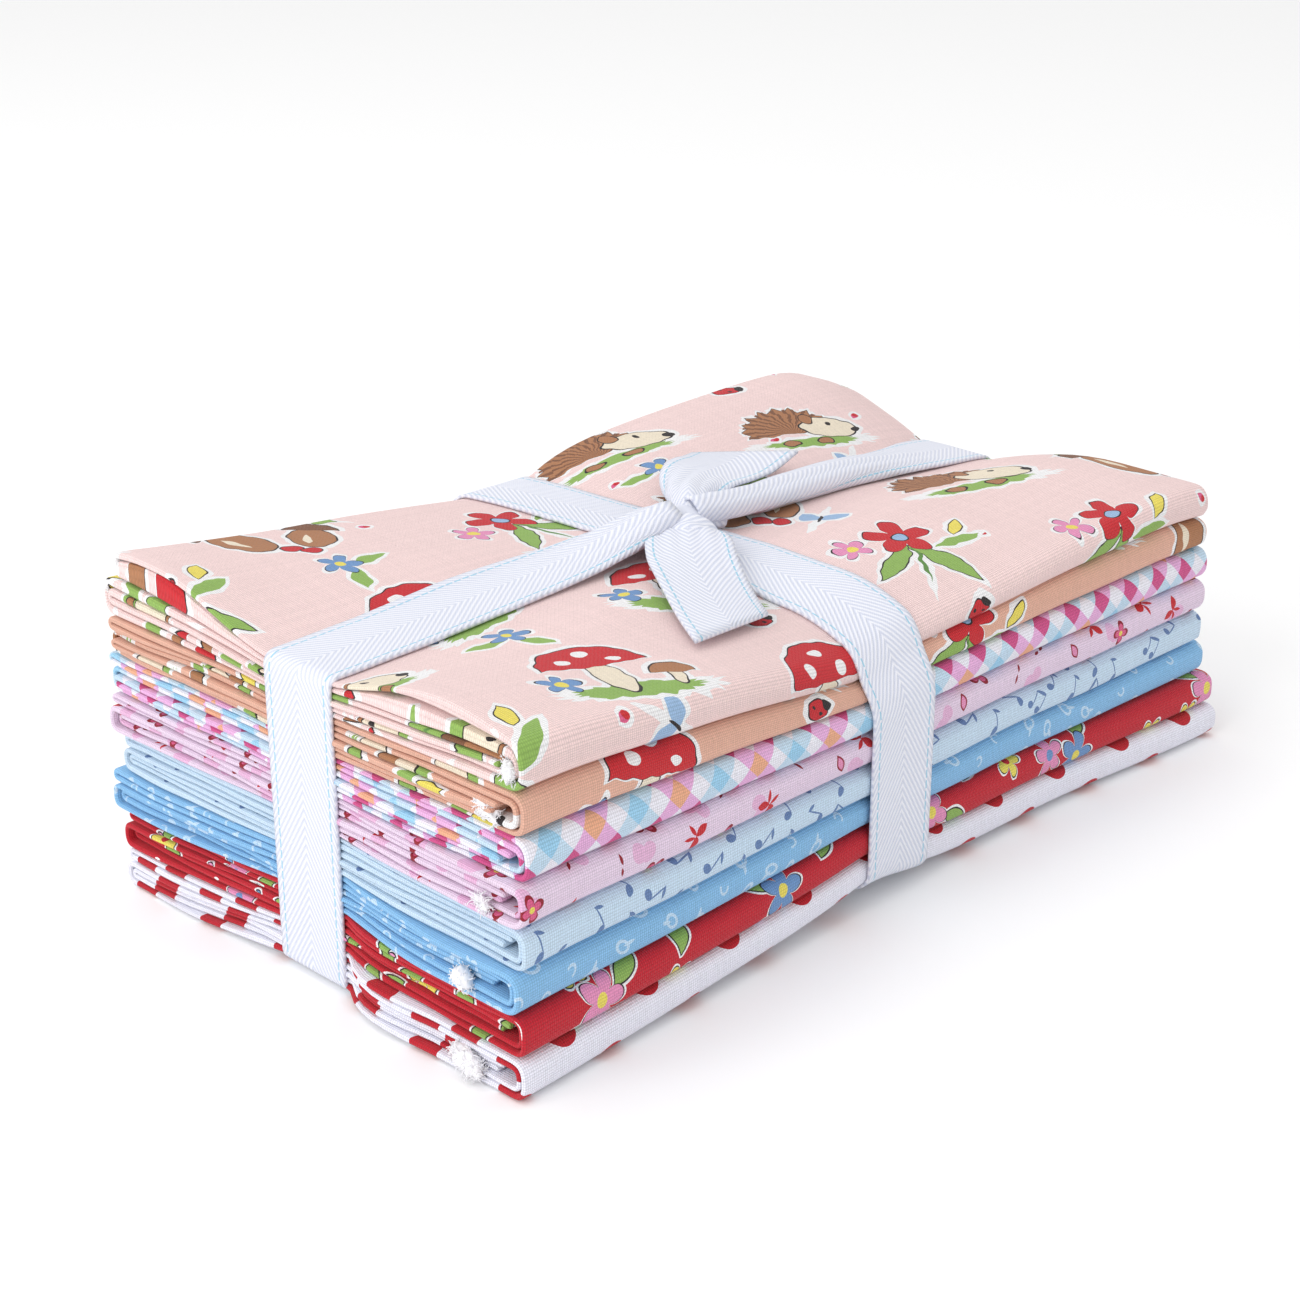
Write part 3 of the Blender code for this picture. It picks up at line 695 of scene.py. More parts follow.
plus, minus, times, divided = maths("ADD"), maths("SUBTRACT"), maths("MULTIPLY"), maths("DIVIDE")
timesPlus, larger, below = maths("MULTIPLY_ADD"), maths("MAXIMUM"), maths("LESS_THAN")
alike, floored, unsigned = maths("COMPARE"), maths("FLOOR"), maths("ABSOLUTE")
sine, zigzag = maths("SINE"), maths("PINGPONG")


def odd(number):
    return calc("FLOORED_MODULO", number, 2.0)


def calcVector(operation, *values):
    node = newNode("VectorMath", *values)
    node.operation = operation
    for socket, value in zip(node.inputs, values):
        feed(socket, value)
    return node.outputs["Value" if operation == "LENGTH" else "Vector"]


def split(vector):
    node = newNode("SeparateXYZ", vector)
    feed(node.inputs[0], vector)
    return node.outputs


def combine(x, y):
    node = newNode("CombineXYZ", x, y)
    feed(node.inputs[0], x)
    feed(node.inputs[1], y)
    return node.outputs[0]


def dyed(mask, under, over, blend="MIX"):
    node = newNode("Mix", mask, under, over)
    node.data_type = "RGBA"
    node.blend_type = blend
    feed(node.inputs[0], mask)
    feed(node.inputs[6], under)
    feed(node.inputs[7], over)
    return node.outputs[2]


def mapped(vector, centre=(0.0, 0.0), turn=0.0, size=(1.0, 1.0)):
    # the pattern's own coordinates after it was scaled, turned in degrees and moved to its centre
    node = newNode("Mapping", vector)
    node.vector_type = "TEXTURE"
    feed(node.inputs["Vector"], vector)
    node.inputs["Location"].default_value = (*centre, 0.0)
    node.inputs["Rotation"].default_value = (0.0, 0.0, math.radians(turn))
    node.inputs["Scale"].default_value = (*size, 1.0)
    return node.outputs[0]


def cloudy(place, scale, detail, dimensions="2D"):
    node = newNode("TexNoise", place)
    node.noise_dimensions = dimensions
    feed(node.inputs["Vector"], place)
    node.inputs["Scale"].default_value = scale
    node.inputs["Detail"].default_value = detail
    return node.outputs


def lucky(label, value, dimensions):
    # a random number and colour, always the same for the same value
    node = newNode("TexWhiteNoise", value)
    node.noise_dimensions = dimensions
    feed(node.inputs[label], value)
    return node.outputs


def newGroup(name, takes, gives):
    tree = bpy.data.node_groups.new(name, "ShaderNodeTree")
    for label, kind, value in takes:
        socket = tree.interface.new_socket(label, in_out="INPUT", socket_type="NodeSocket" + kind)
        if value is not None:
            socket.default_value = value
    for label, kind in gives:
        tree.interface.new_socket(label, in_out="OUTPUT", socket_type="NodeSocket" + kind)
    return tree, tree.nodes.new("NodeGroupInput").outputs, tree.nodes.new("NodeGroupOutput").inputs


def useGroup(group, **values):
    node = newNode("Group", *values.values())
    node.node_tree = group
    for label, value in values.items():
        feed(node.inputs[label], value)
    return node.outputs


def ink(red, green, blue):
    # a printed colour given as 0-255 on screen
    return (*((value / 255) ** 2.2 for value in (red, green, blue)), 1.0)


inks = {
    "white": ink(236, 235, 236), "black": ink(36, 28, 30), "brown": ink(168, 115, 79),
    "darkBrown": ink(121, 79, 55), "cream": ink(232, 219, 197), "red": ink(195, 32, 42),
    "darkRed": ink(142, 23, 42), "green": ink(138, 174, 87), "darkGreen": ink(91, 136, 66),
    "blue": ink(106, 144, 193), "paleBlue": ink(149, 180, 215), "pink": ink(223, 140, 181),
    "yellow": ink(229, 212, 93), "rose": ink(214, 91, 132), "slate": ink(98, 127, 174),
}

# The woodland print of the two top cloths. Rows of a motif, back to front: shape, x, y, half width,
# half height, turn in degrees, ink, and True where it has a black outline; in millimetres.
woodland = {
    "cell": 61.0, "halo": 1.2, "outline": 0.16, "wobble": 0.9, "wobbleScale": 0.22,
    # its layers, lowest first: place and cell in cells, turn, shift, scale, each motif's share of the cells
    "layers": [
        ((0.1, 0.22), 1 / 3, 1.5, 4.0, 1.0, [("drop", 0.0, 0.2)]),
        ((0.0, 0.5), 1, 1.2, 6.0, 1.15, [
            ("posy", 0.0, 0.38), ("ladybird", 0.38, 0.6), ("butterfly", 0.6, 0.9),
        ]),
        ((0.0, 0.0), 1, 0.5, 5.0, 1.2, [
            ("acorns", 0.0, 0.26), ("toadstools", 0.26, 0.5),
            ("hedgehog", 0.5, 0.75), ("wildflowers", 0.75, 1.0),
        ]),
    ],
    "acorns": [
        ("lobed", -5, 9, 15, 5.6, 22, "green", True), ("lobed", 12, 9, 11, 4.6, -38, "green", True),
        ("leaf", -5, 9, 11, 0.5, 22, "darkGreen"), ("leaf", 12, 9, 8, 0.45, -38, "darkGreen"),
        ("oval", -9, -5, 6.2, 8.6, 24, "brown", True), ("leaf", -11, -5, 4.4, 1.1, 112, "cream"),
        ("dome", -12.2, 1.6, 7.2, 6.0, 24, "darkBrown", True),
        ("leaf", -15.2, 8.6, 2.8, 0.7, 112, "darkBrown"),
        ("oval", 8, -7, 5.4, 7.6, -28, "brown", True), ("leaf", 7, -7, 3.8, 1.0, 64, "cream"),
        ("dome", 11.2, -1.2, 6.4, 5.2, -28, "darkBrown", True),
        ("oval", -1, -13, 2.6, 2.6, 0, "red", True), ("oval", 2.8, -16.0, 2.3, 2.3, 0, "red", True),
    ],
    "toadstools": [
        ("tuft", 2, -14.0, 16, 3.6, 0, "green"), ("oval", 0, -6, 3.6, 8.6, 4, "cream", True),
        ("dome", 0, 0, 12.5, 11.5, 4, "red", True), ("oval", -5.6, 3.4, 1.8, 1.4, 0, "white"),
        ("oval", 0.4, 7.2, 2.0, 1.5, 0, "white"), ("oval", 5.8, 2.8, 1.8, 1.4, 0, "white"),
        ("oval", 13.6, -9.4, 1.7, 4.2, -8, "cream", True), ("dome", 13.6, -7.8, 5.4, 5.0, -8, "brown", True),
        ("flower", -13, -8.5, 4.8, 4.8, 10, "blue", True), ("oval", -13, -8.5, 1.3, 1.3, 0, "yellow"),
    ],
    "hedgehog": [
        ("tuft", 0, -13.2, 17, 2.4, 0, "green"), ("spines", -3, -8, 15.5, 15.0, 0, "brown", True),
        ("bristles", -3, -8, 15.0, 14.5, 0, "darkBrown"), ("oval", 9.6, -6.6, 9.2, 5.0, -12, "cream", True),
        ("oval", 4.6, -1.2, 2.2, 2.6, 0, "brown", True), ("oval", 10.8, -4.6, 0.8, 1.0, 0, "black"),
        ("oval", 18.2, -8.8, 1.5, 1.2, 0, "black"), ("oval", -7, -13.0, 3.0, 1.5, 0, "brown", True),
        ("oval", 5, -13.0, 3.0, 1.5, 0, "brown", True),
    ],
    "wildflowers": [
        ("leaf", -6, -7, 10, 2.6, 52, "green", True), ("leaf", 6.5, -8, 11, 2.8, 128, "green", True),
        ("leaf", 0.5, -8, 9, 0.6, 88, "darkGreen"), ("leaf", 13, 1, 7, 1.9, 20, "green"),
        ("flower", 0, 5, 8.4, 8.4, 16, "red", True), ("oval", 0, 5, 2.1, 2.1, 0, "paleBlue", True),
        ("flower", -13.5, 2.5, 5.0, 5.0, 40, "pink", True), ("oval", -13.5, 2.5, 1.4, 1.4, 0, "yellow"),
        ("leaf", 15.5, 8, 4.2, 1.9, 60, "yellow", True),
    ],
    "posy": [
        ("leaf", -5.6, -4.2, 5.4, 1.9, 30, "green"), ("leaf", 5.2, -4.4, 4.8, 1.8, -36, "green"),
        ("flower", 0, 1.5, 5.2, 5.2, 12, "blue", True), ("oval", 0, 1.5, 1.4, 1.4, 0, "yellow"),
    ],
    "ladybird": [
        ("oval", 0, 0, 3.6, 2.9, 12, "red", True), ("oval", 3.6, 0.8, 1.4, 1.6, 12, "black"),
        ("oval", -1.0, 1.0, 0.6, 0.6, 0, "black"), ("oval", 0.7, -1.1, 0.6, 0.6, 0, "black"),
    ],
    "butterfly": [
        ("leaf", -3.2, 2.2, 4.2, 2.5, -38, "paleBlue"), ("leaf", 3.2, 2.2, 4.2, 2.5, 38, "paleBlue"),
        ("oval", 0, 0.4, 0.4, 3.0, 0, "black"),
    ],
    "drop": [("leaf", 0, 0, 2.0, 1.2, 40, "rose"), ("oval", 0.6, 0.5, 1.05, 1.05, 0, "red")],
}

# The waves of a shape's edge: how many, how deep, least reach; how sharply others are cut off below
waves = {
    "lobed": (7.0, 0.45, 0.6), "flower": (2.5, 0.62, 0.4), "smallFlower": (2.0, 0.62, 0.4),
    "frayed": (6.0, 0.16, 0.86),
}
cuts = {"dome": 4.0, "spines": 6.0, "bristles": 6.0}
# the bristles' rows, how far each row is turned, bristles in a half turn, width
bristles = (5.0, 0.17, 9.0, 2.6)


def cutBelow(far, up, shape):
    return larger(far, minus(1.0, times(up, cuts[shape])))


def edgeValue(place, shape, x, y, halfWidth, halfHeight, turn):
    # 1 on the shape's edge, less inside it and more outside
    own = mapped(place, (x, y), turn, (halfWidth, halfHeight))
    if shape == "oval":
        return calcVector("LENGTH", own)
    across, up, rest = split(own)
    if shape == "leaf":
        return timesPlus(across, across, unsigned(up))
    count, deep, least = waves.get(shape, waves["frayed"])
    if shape == "lobed":
        lobes = timesPlus(unsigned(sine(times(across, count))), deep, least)
        return timesPlus(across, across, divided(unsigned(up), lobes))
    far = calcVector("LENGTH", own)
    if shape == "dome":
        return cutBelow(far, up, shape)
    angle = calc("ARCTAN2", up, across)
    if shape in waves:
        wave = unsigned(calc("COSINE", times(angle, count)))
        return divided(far, timesPlus(wave, deep, least))
    if shape == "bristles":
        rows, turned, many, thick = bristles
        turns = times(floored(times(far, rows)), turned)
        comb = zigzag(times(plus(angle, turns), many), 1.0)
        return larger(cutBelow(far, up, shape), times(comb, thick))
    wave = zigzag(times(angle, count), 1.0)
    frayed = divided(far, timesPlus(wave, deep, least))
    return cutBelow(frayed, up, shape) if shape in cuts else frayed


def drawn(place, rows, ground, halo, outline):
    # a motif's shapes on the ground, with a white halo round them all
    edges = [edgeValue(place, *row[:6]) for row in rows]
    colour = ground
    if halo:
        around = 0.0
        for edge, row in zip(edges, rows):
            around = larger(around, below(edge, 1.0 + halo / min(row[3], row[4])))
        colour = dyed(around, ground, inks["white"])
    for edge, row in zip(edges, rows):
        colour = dyed(below(edge, 1.0), colour, inks[row[6]])
        if len(row) > 7:
            line = alike(edge, 1.0, outline / min(row[3], row[4]))
            colour = dyed(line, colour, inks["black"])
    return colour


def scattered(place, tossed, look, colour):
    # the motifs of a print, each in its share of the tossed cells
    own, luck = useGroup(tossed, Place=place, Cell=look["cell"], Turn=look["turn"], Shift=look["shift"])
    own = mapped(own, size=[look.get("scale", 1.0)] * 2)
    for name, low, high in look["shares"]:
        picture = drawn(own, look[name], colour, look.get("halo"), look.get("outline"))
        colour = dyed(alike(luck, (low + high) / 2, (high - low) / 2), colour, picture)
    return colour


def makeTossed():
    # half-drop cells; each gives a place of its own, jittered and turned, and a lucky number
    tree, takes, gives = newGroup(
        "tossed cells",
        [("Place", "Vector", None), ("Cell", "Float", 50.0), ("Turn", "Float", 0.4), ("Shift", "Float", 4.0)],
        [("Place", "Vector"), ("Luck", "Float")],
    )
    cell, shift = takes["Cell"], takes["Shift"]
    x, y, rest = split(takes["Place"])
    column = floored(divided(x, cell))
    lift = times(odd(column), 0.5)
    row = floored(plus(divided(y, cell), lift))
    middleX = times(plus(column, 0.5), cell)
    middleY = times(minus(plus(row, 0.5), lift), cell)
    luck = lucky("Vector", combine(column, row), "2D")
    jitterX, jitterY, jitterTurn = split(calcVector("SUBTRACT", luck["Color"], (0.5, 0.5, 0.5)))
    ownX = minus(minus(x, middleX), times(jitterX, shift))
    ownY = minus(minus(y, middleY), times(jitterY, shift))
    own = combine(ownX, ownY)
    turner = newNode("VectorRotate", own)
    turner.rotation_type = "Z_AXIS"
    feed(turner.inputs["Vector"], own)
    feed(turner.inputs["Angle"], times(times(jitterTurn, 2.0), takes["Turn"]))
    feed(gives["Place"], turner.outputs[0])
    feed(gives["Luck"], luck["Value"])
    return tree


cotton = {
    "weavePitch": 0.66, "depth": 0.00014, "roughness": 0.9, "sheen": 0.08, "sheenRoughness": 0.55,
    # how high a thread stays where another crosses it, and the slubs' scale, detail and height
    "crossed": 0.5, "slubScale": 1.2, "slubDetail": 2.0, "slubs": 0.5,
    # painted shade of the weave: how light its hollows are and how much lighter with height; and how much the
    # tone differs from thread to thread
    "paintedShadeInHollows": 0.68, "paintedLightOnTops": 0.36, "streaks": 0.04,
}


def makeWeave():
    # plain weave: at each crossing one thread lies over the other, by turns; slubs make it uneven. Its height
    # gives the bump and also painted shade, darker in the hollows and lighter on the threads' and slubs'
    # tops, and each thread has its own streak of tone
    tree, takes, gives = newGroup(
        "plain weave", [("Place", "Vector", None), ("Pitch", "Float", 0.6)],
        [("Height", "Float"), ("Shade", "Float")],
    )
    counted = calcVector("DIVIDE", takes["Place"], combine(takes["Pitch"], takes["Pitch"]))
    x, y, rest = split(counted)
    ribX, ribY = (unsigned(sine(times(counter, math.pi))) for counter in (x, y))
    threadX, threadY = floored(x), floored(y)
    isOver = odd(plus(threadX, threadY))
    streaks = plus(*(lucky("W", thread, "1D")["Value"] for thread in (threadX, threadY)))
    warp = times(ribX, timesPlus(ribY, 1.0 - cotton["crossed"], cotton["crossed"]))
    weft = times(ribY, timesPlus(ribX, 1.0 - cotton["crossed"], cotton["crossed"]))
    height = plus(times(warp, isOver), times(weft, minus(1.0, isOver)))
    slubs = cloudy(takes["Place"], cotton["slubScale"], cotton["slubDetail"])[0]
    uneven = timesPlus(slubs, cotton["slubs"], height)
    # painted shade: darker in the hollows, lighter where the threads and slubs stand high
    paintedShade = timesPlus(uneven, cotton["paintedLightOnTops"], cotton["paintedShadeInHollows"])
    feed(gives["Height"], uneven)
    feed(gives["Shade"], timesPlus(streaks, cotton["streaks"], paintedShade))
    return tree


def makeWoodland(tossed):
    tree, takes, gives = newGroup(
        "woodland print", [("Place", "Vector", None), ("Ground", "Color", inks["white"])],
        [("Colour", "Color")],
    )
    wobble = cloudy(takes["Place"], woodland["wobbleScale"], 0.0)["Color"]
    push = calcVector("SUBTRACT", wobble, (0.5, 0.5, 0.5))
    most = woodland["wobble"] * 2
    place = calcVector("MULTIPLY_ADD", push, (most, most, 0.0), takes["Place"])
    cell = woodland["cell"]
    colour = takes["Ground"]
    for (x, y), size, turn, shift, scale, shares in woodland["layers"]:
        own = {"cell": cell * size, "turn": turn, "shift": shift, "scale": scale, "shares": shares}
        look = {**woodland, **own}
        colour = scattered(mapped(place, (cell * x, cell * y)), tossed, look, colour)
    feed(gives["Colour"], colour)
    return tree


# The bias gingham: squares of full, half and no colour, set on the slant
gingham = {
    "square": 5.0, "slant": 43.0, "centre": (1.0, 2.0),
    "raspberry": ink(202, 78, 133), "orchid": ink(227, 172, 217), "sky": ink(152, 202, 232),
    "paleBlue": ink(193, 217, 236), "apricot": ink(230, 168, 134), "white": ink(233, 232, 242),
}


def paintGingham(place):
    size = gingham["square"]
    x, y, rest = split(mapped(place, gingham["centre"], gingham["slant"], (size, size)))
    squareX, squareY = floored(x), floored(y)
    pairX, pairY = (odd(floored(divided(square, 2.0))) for square in (squareX, squareY))
    unlike = dyed(pairX, gingham["sky"], gingham["apricot"])
    full = dyed(alike(pairX, pairY, 0.5), unlike, gingham["raspberry"])
    halfAcross = dyed(pairY, gingham["orchid"], gingham["paleBlue"])
    halfUp = dyed(pairX, gingham["paleBlue"], gingham["orchid"])
    oddX = odd(squareX)
    even = dyed(oddX, full, halfAcross)
    uneven = dyed(oddX, halfUp, gingham["white"])
    return dyed(odd(squareY), even, uneven)


# The small tossed print of the lilac pink cloth, over faint hearts of two slanting ovals
sprigs = {
    "cell": 13.0, "turn": 3.0, "shift": 3.5, "ground": ink(226, 205, 226), "faint": ink(224, 176, 210),
    "shares": [("flower", 0.0, 0.3), ("bow", 0.3, 0.5), ("dashes", 0.5, 0.75), ("petal", 0.75, 1.0)],
    "heartCells": {"Cell": 19.0, "Turn": 3.0, "Shift": 5.0}, "heartShift": (4.0, 9.0),
    "heart": [("oval", -1.5, 0.6, 2.1, 2.6, 34), ("oval", 1.5, 0.6, 2.1, 2.6, -34)],
    "flower": [("smallFlower", 0, 0, 3.6, 3.6, 0, "darkRed"), ("smallFlower", 0, 0, 2.7, 2.7, 0, "rose"),
               ("oval", 0, 0, 0.8, 0.8, 0, "yellow")],
    "bow": [("leaf", -1.9, 0.9, 2.2, 1.3, -28, "red"), ("leaf", 1.9, 0.9, 2.2, 1.3, 28, "red"),
            ("leaf", -1.0, -1.9, 2.0, 0.55, 66, "red"), ("leaf", 1.2, -1.9, 2.0, 0.55, -66, "red")],
    "dashes": [("leaf", -1.2, -0.8, 1.5, 0.45, 50, "darkRed"), ("leaf", 1.3, 1.2, 1.2, 0.4, 40, "darkRed")],
    "petal": [("leaf", 0, 0, 2.7, 1.5, 30, "darkRed"), ("leaf", 0, 0, 2.0, 1.0, 30, "pink")],
}


def paintSprigs(place, tossed):
    own, luck = useGroup(tossed, Place=mapped(place, sprigs["heartShift"]), **sprigs["heartCells"])
    heart = calc("MINIMUM", *(edgeValue(own, *row) for row in sprigs["heart"]))
    colour = dyed(below(heart, 1.0), sprigs["ground"], sprigs["faint"])
    return scattered(place, tossed, sprigs, colour)


# Notes on the light blue cloth: one with a flag, and two joined by a beam
notes = {
    "cell": 9.6, "turn": 1.4, "shift": 1.6, "ground": ink(195, 217, 236),
    "shares": [("single", 0.0, 0.66), ("beamed", 0.66, 0.9)],
    "single": [("oval", -0.9, -2.6, 1.5, 1.05, 24, "slate"), ("oval", 0.45, 0.3, 0.22, 3.0, 0, "slate"),
               ("leaf", 1.3, 2.3, 1.5, 0.5, -40, "slate")],
    "beamed": [("oval", -2.6, -2.3, 1.25, 0.95, 20, "slate"), ("oval", 1.4, -1.7, 1.25, 0.95, 20, "slate"),
               ("oval", -1.5, 0.2, 0.22, 2.6, 0, "slate"), ("oval", 2.5, 0.8, 0.22, 2.6, 0, "slate"),
               ("oval", 0.5, 2.8, 2.2, 0.55, 9, "slate")],
}

# Pale loops and dots, as from a soft brush, on the mid blue cloth
loops = {
    "cells": {"Cell": 8.6, "Turn": 2.6, "Shift": 3.0},
    "ground": ink(132, 184, 226), "mark": ink(196, 220, 240),
    "ring": ("oval", 0, 0, 1.3, 2.0, 0), "ringLine": 0.26, "tail": ("leaf", 1.5, -1.6, 1.9, 0.5, -50),
    "hook": ("oval", -0.5, -1.2, 1.6, 1.2, 20), "hookLine": 0.24, "hookFrom": -0.9,
    # which share of the cells has rings with tails, which has a mark at all, and how strong the marks are
    "ringed": 0.45, "marked": 0.86, "strength": 0.85,
}


def paintLoops(place, tossed):
    own, luck = useGroup(tossed, Place=place, **loops["cells"])
    ring = alike(edgeValue(own, *loops["ring"]), 1.0, loops["ringLine"])
    tail = below(edgeValue(own, *loops["tail"]), 1.0)
    hook = alike(edgeValue(own, *loops["hook"]), 1.0, loops["hookLine"])
    x, y, rest = split(own)
    hook = times(hook, calc("GREATER_THAN", x, loops["hookFrom"]))
    isRinged = alike(luck, loops["ringed"] / 2, loops["ringed"] / 2)
    mark = dyed(isRinged, hook, larger(ring, tail))
    mark = times(mark, below(luck, loops["marked"]))
    return dyed(times(mark, loops["strength"]), loops["ground"], loops["mark"])


# Flower bunches on the red cloth
bouquets = {
    "cell": 32.0, "turn": 3.1, "shift": 2.4, "scale": 1.02, "halo": 0.8, "outline": 0.2,
    "ground": ink(188, 22, 42), "shares": [("first", 0.0, 0.5), ("second", 0.5, 1.0)],
    "first": [
        ("leaf", -9.5, -4.5, 5.6, 2.5, 28, "green", True), ("leaf", 10.5, 7.5, 5.4, 2.3, 30, "green", True),
        ("flower", -2.5, 2.5, 6.6, 6.6, 15, "blue", True), ("oval", -2.5, 2.5, 1.6, 1.6, 0, "yellow"),
        ("flower", 7.5, -4.5, 5.6, 5.6, 40, "pink", True), ("oval", 7.5, -4.5, 1.4, 1.4, 0, "blue"),
    ],
    "second": [
        ("leaf", -9.0, 3.5, 5.6, 2.5, -30, "green", True), ("leaf", 8.5, -7.5, 5.4, 2.3, -36, "green", True),
        ("flower", 1.0, -1.5, 6.8, 6.8, 5, "pink", True), ("oval", 1.0, -1.5, 1.6, 1.6, 0, "yellow"),
        ("flower", 7.5, 7.0, 4.8, 4.8, 30, "yellow", True), ("oval", 7.5, 7.0, 1.2, 1.2, 0, "red"),
    ],
}

# Big red dots on the white cloth
dots = {
    "column": 14.0, "spacing": 29.0, "half": 4.4, "shift": 0.8,
    "ground": ink(233, 233, 245), "dot": ink(184, 22, 40),
}


def paintDots(place, tossed):
    stretch = dots["spacing"] / dots["column"]
    squeezed = mapped(place, size=(1.0, stretch))
    own, luck = useGroup(tossed, Place=squeezed, Cell=dots["column"], Turn=0.0, Shift=dots["shift"])
    edge = edgeValue(own, "oval", 0, 0, dots["half"], dots["half"] / stretch, 0)
    return dyed(below(edge, 1.0), dots["ground"], dots["dot"])


def flatPlace(tree, uvMap, shift=(0.0, 0.0)):
    # millimetres on the flat cloth: x across the folded strip, y along it
    source = tree.nodes.new("ShaderNodeUVMap")
    source.uv_map = uvMap
    along, across, rest = split(source.outputs[0])
    return combine(timesPlus(across, 1 / mm, shift[0]), timesPlus(along, 1 / mm, shift[1]))


def newMaterial(name):
    material = bpy.data.materials.new(name)
    material.use_nodes = True
    return material, material.node_tree, material.node_tree.nodes["Principled BSDF"]


def setLook(shader, look, colour, height=None):
    # the dictionary's roughness, sheen and depth of weave, with a colour and a height from nodes
    feed(shader.inputs["Base Color"], colour)
    shader.inputs["Roughness"].default_value = look["roughness"]
    shader.inputs["Sheen Weight"].default_value = look["sheen"]
    if "sheenRoughness" in look:
        shader.inputs["Sheen Roughness"].default_value = look["sheenRoughness"]
    if height is not None:
        bump = newNode("Bump", height)
        bump.inputs["Distance"].default_value = look["depth"]
        feed(bump.inputs["Height"], height)
        feed(shader.inputs["Normal"], bump.outputs[0])


def cottonMaterial(name, shift, paint, weave):
    material, tree, shader = newMaterial(name)
    place = flatPlace(tree, "flat cloth", shift)
    colour = paint(place)
    height, light = useGroup(weave, Place=place, Pitch=cotton["weavePitch"])
    # the weave's painted shade, darker in its hollows and lighter on the threads' tops, with each thread's
    # own streaks, multiplies the print's colour
    paintedShade = tree.nodes.new("ShaderNodeCombineColor")
    for socket in paintedShade.inputs[:3]:
        feed(socket, light)
    setLook(shader, cotton, dyed(1.0, colour, paintedShade.outputs[0], "MULTIPLY"), height)
    return material


twill = {
    "line": 1.3, "angle": 32.0, "thread": 0.8, "threadHeight": 0.35, "depth": 0.00014,
    # its colour, the painted shade in the hollows of its twill lines, roughness and sheen
    "ground": ink(234, 235, 243), "paintedShadeInHollows": ink(201, 206, 223), "roughness": 0.8, "sheen": 0.2,
    # the blue stitch line: how far in from the edge, half its width, length and share of a dash
    "stitch": ink(150, 198, 220), "stitchIn": 2.2, "stitchHalf": 0.24, "dash": 3.0, "dashShare": 0.76,
}


def twillMaterial():
    material, tree, shader = newMaterial("white herringbone twill")
    x, y, rest = split(flatPlace(tree, "flat tape"))
    side = unsigned(x)
    angle = math.radians(twill["angle"])
    slant = timesPlus(side, math.cos(angle), times(y, math.sin(angle)))
    ridge = sine(times(slant, 2 * math.pi / twill["line"]))
    crossed, thread = (sine(times(value, 2 * math.pi / twill["thread"])) for value in (x, y))
    fine = times(times(thread, crossed), twill["threadHeight"])
    height = timesPlus(plus(ridge, fine), 0.5, 0.5)
    # the twill lines' hollows get painted shade, lighter where the ridges stand high
    colour = dyed(height, twill["paintedShadeInHollows"], twill["ground"])
    line = alike(side, tape["width"] / 2 - twill["stitchIn"], twill["stitchHalf"])
    along = calc("FRACT", divided(y, twill["dash"]))
    stitch = times(line, below(along, twill["dashShare"]))
    setLook(shader, twill, dyed(stitch, colour, twill["stitch"]), height)
    return material


fluffLook = {
    "scale": 700.0, "detail": 2.0, "roughness": 1.0, "sheen": 0.3,
    "dark": ink(240, 238, 244), "light": ink(253, 253, 254),
}


def threadMaterial():
    material, tree, shader = newMaterial("loose white cotton threads")
    place = tree.nodes.new("ShaderNodeTexCoord").outputs["Object"]
    cloud = cloudy(place, fluffLook["scale"], fluffLook["detail"], "3D")[0]
    setLook(shader, fluffLook, dyed(cloud, fluffLook["dark"], fluffLook["light"]))
    return material


studio = {
    "floor": 0.97, "floorSize": 8.0, "floorRoughness": 0.9, "world": 0.86,
    # name, place in metres, size, power in watts
    "lights": [("key", (-1.5, 0.1, 0.9), 1.2, 11.0), ("top", (-0.3, 0.3, 1.9), 1.4, 7.0)],
}


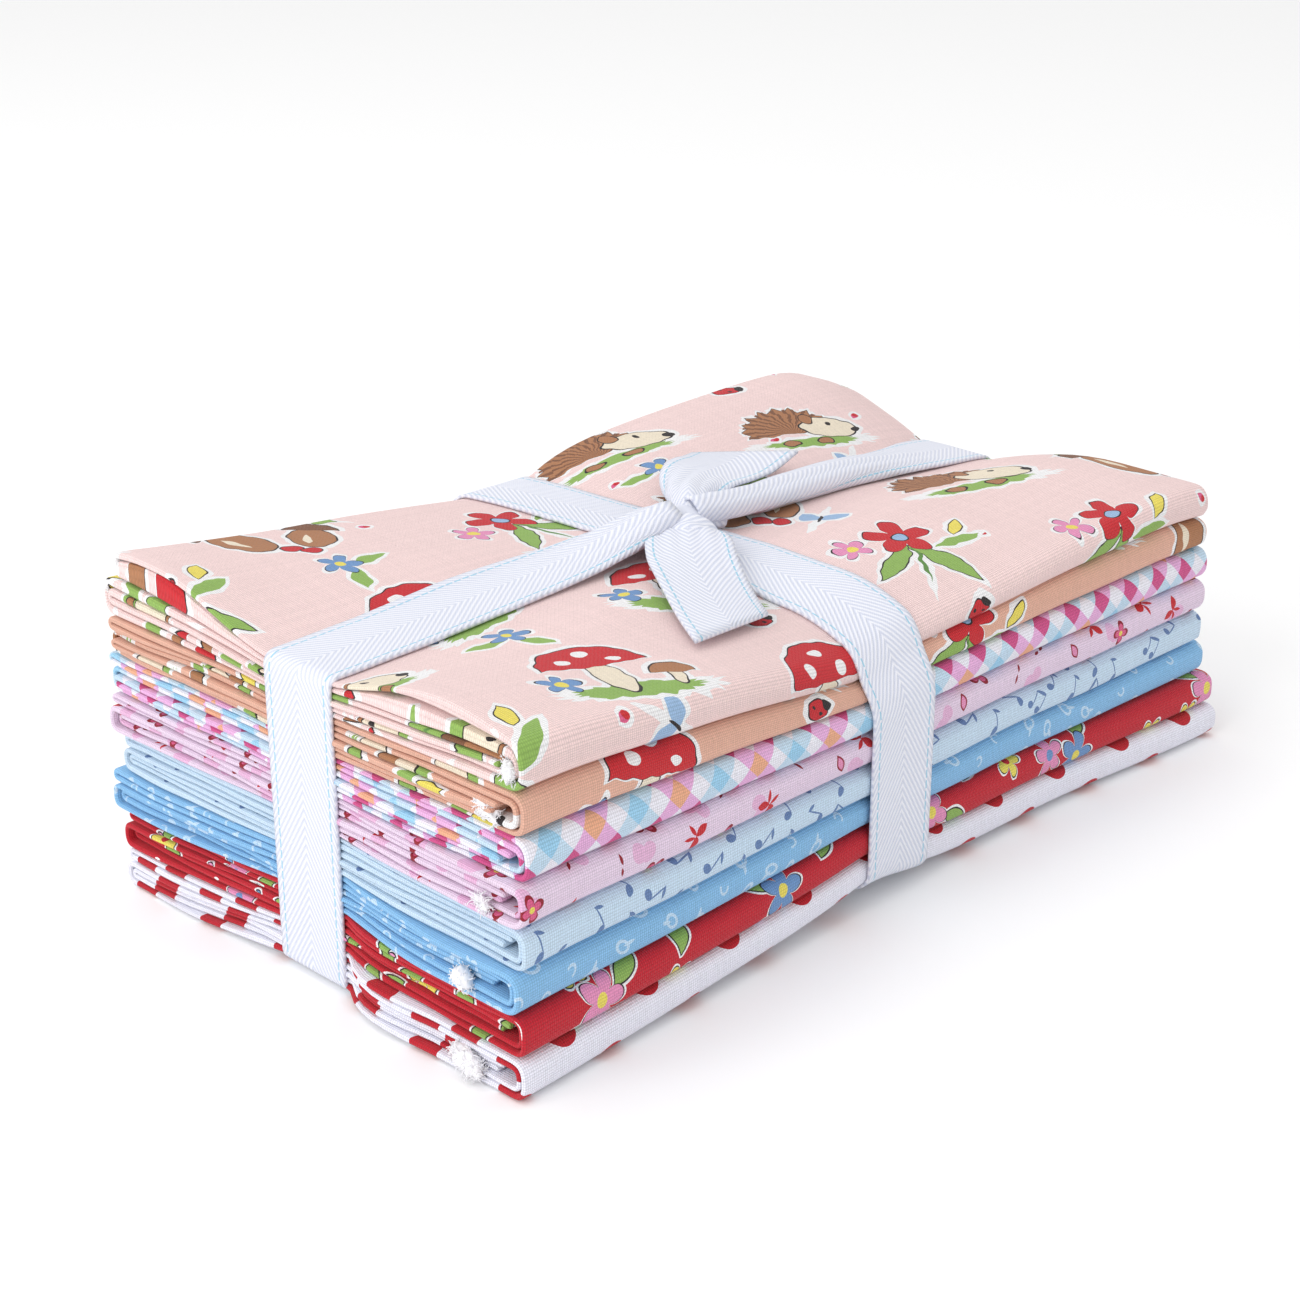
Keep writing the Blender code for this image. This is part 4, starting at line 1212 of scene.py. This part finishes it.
def addStage():
    bpy.ops.mesh.primitive_plane_add(size=studio["floorSize"], location=(0, 0, 0))
    floor = bpy.context.object
    floor.name = "floor"
    material, tree, shader = newMaterial("pale floor")
    shader.inputs["Base Color"].default_value = (*[studio["floor"]] * 3, 1)
    shader.inputs["Roughness"].default_value = studio["floorRoughness"]
    floor.data.materials.append(material)
    for name, where, size, power in studio["lights"]:
        data = bpy.data.lights.new(name, "AREA")
        data.size = size
        data.energy = power
        light = addObject(name, data)
        light.location = where
        light.rotation_euler = (-Vector(where)).to_track_quat("-Z", "Y").to_euler()
    world = bpy.data.worlds.new("studio")
    bpy.context.scene.world = world
    world.use_nodes = True
    background = world.node_tree.nodes["Background"]
    background.inputs["Color"].default_value = (1, 1, 1, 1)
    background.inputs["Strength"].default_value = studio["world"]
    bpy.context.scene.view_settings.view_transform = "Standard"


addCamera()
addStage()
print("camera, floor and lights are set")

tossed = makeTossed()
weave = makeWeave()
woodlandPrint = makeWoodland(tossed)


def paintWoodland(ground):
    return lambda place: useGroup(woodlandPrint, Place=place, Ground=ground)["Colour"]


def withTossed(paint):
    return lambda place: paint(place, tossed)


def withMotifs(look):
    return lambda place: scattered(place, tossed, look, look["ground"])


# the print of each cloth, from the lowest up, and how far it is shifted on the cut
prints = [
    ("white cotton with red dots", (-7.0, 7.0), withTossed(paintDots)),
    ("red cotton with bouquets", (6.0, 16.0), withMotifs(bouquets)),
    ("mid blue cotton with loops", (0.0, 0.0), withTossed(paintLoops)),
    ("light blue cotton with notes", (-3.0, 0.0), withMotifs(notes)),
    ("lilac pink cotton with sprigs", (0.0, 0.0), withTossed(paintSprigs)),
    ("bias gingham cotton", (0.0, 0.0), paintGingham),
    ("apricot woodland cotton", (7.0, 30.0), paintWoodland(ink(221, 171, 150))),
    ("blush pink woodland cotton", (0.0, 0.0), paintWoodland(ink(236, 208, 206))),
]

threads = threadMaterial()
for number, row in enumerate(cloths):
    obj = foldedStrip(number, row)
    obj.data.materials.append(cottonMaterial(*prints[number], weave))
    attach(obj, "root")
    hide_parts(row[0])
    loose = []
    if number in tufts:
        loose = [tuft(number, row[1])]
        loose[0].data.materials.append(threads)
        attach(loose[0], "root")
    print("cloth", obj.name, len(obj.data.polygons) * 2, "triangles")

obj = twillTie()
obj.data.materials.append(twillMaterial())
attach(obj, "root")
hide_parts("ribbon_tie")
print("tie", len(obj.data.polygons), "faces")
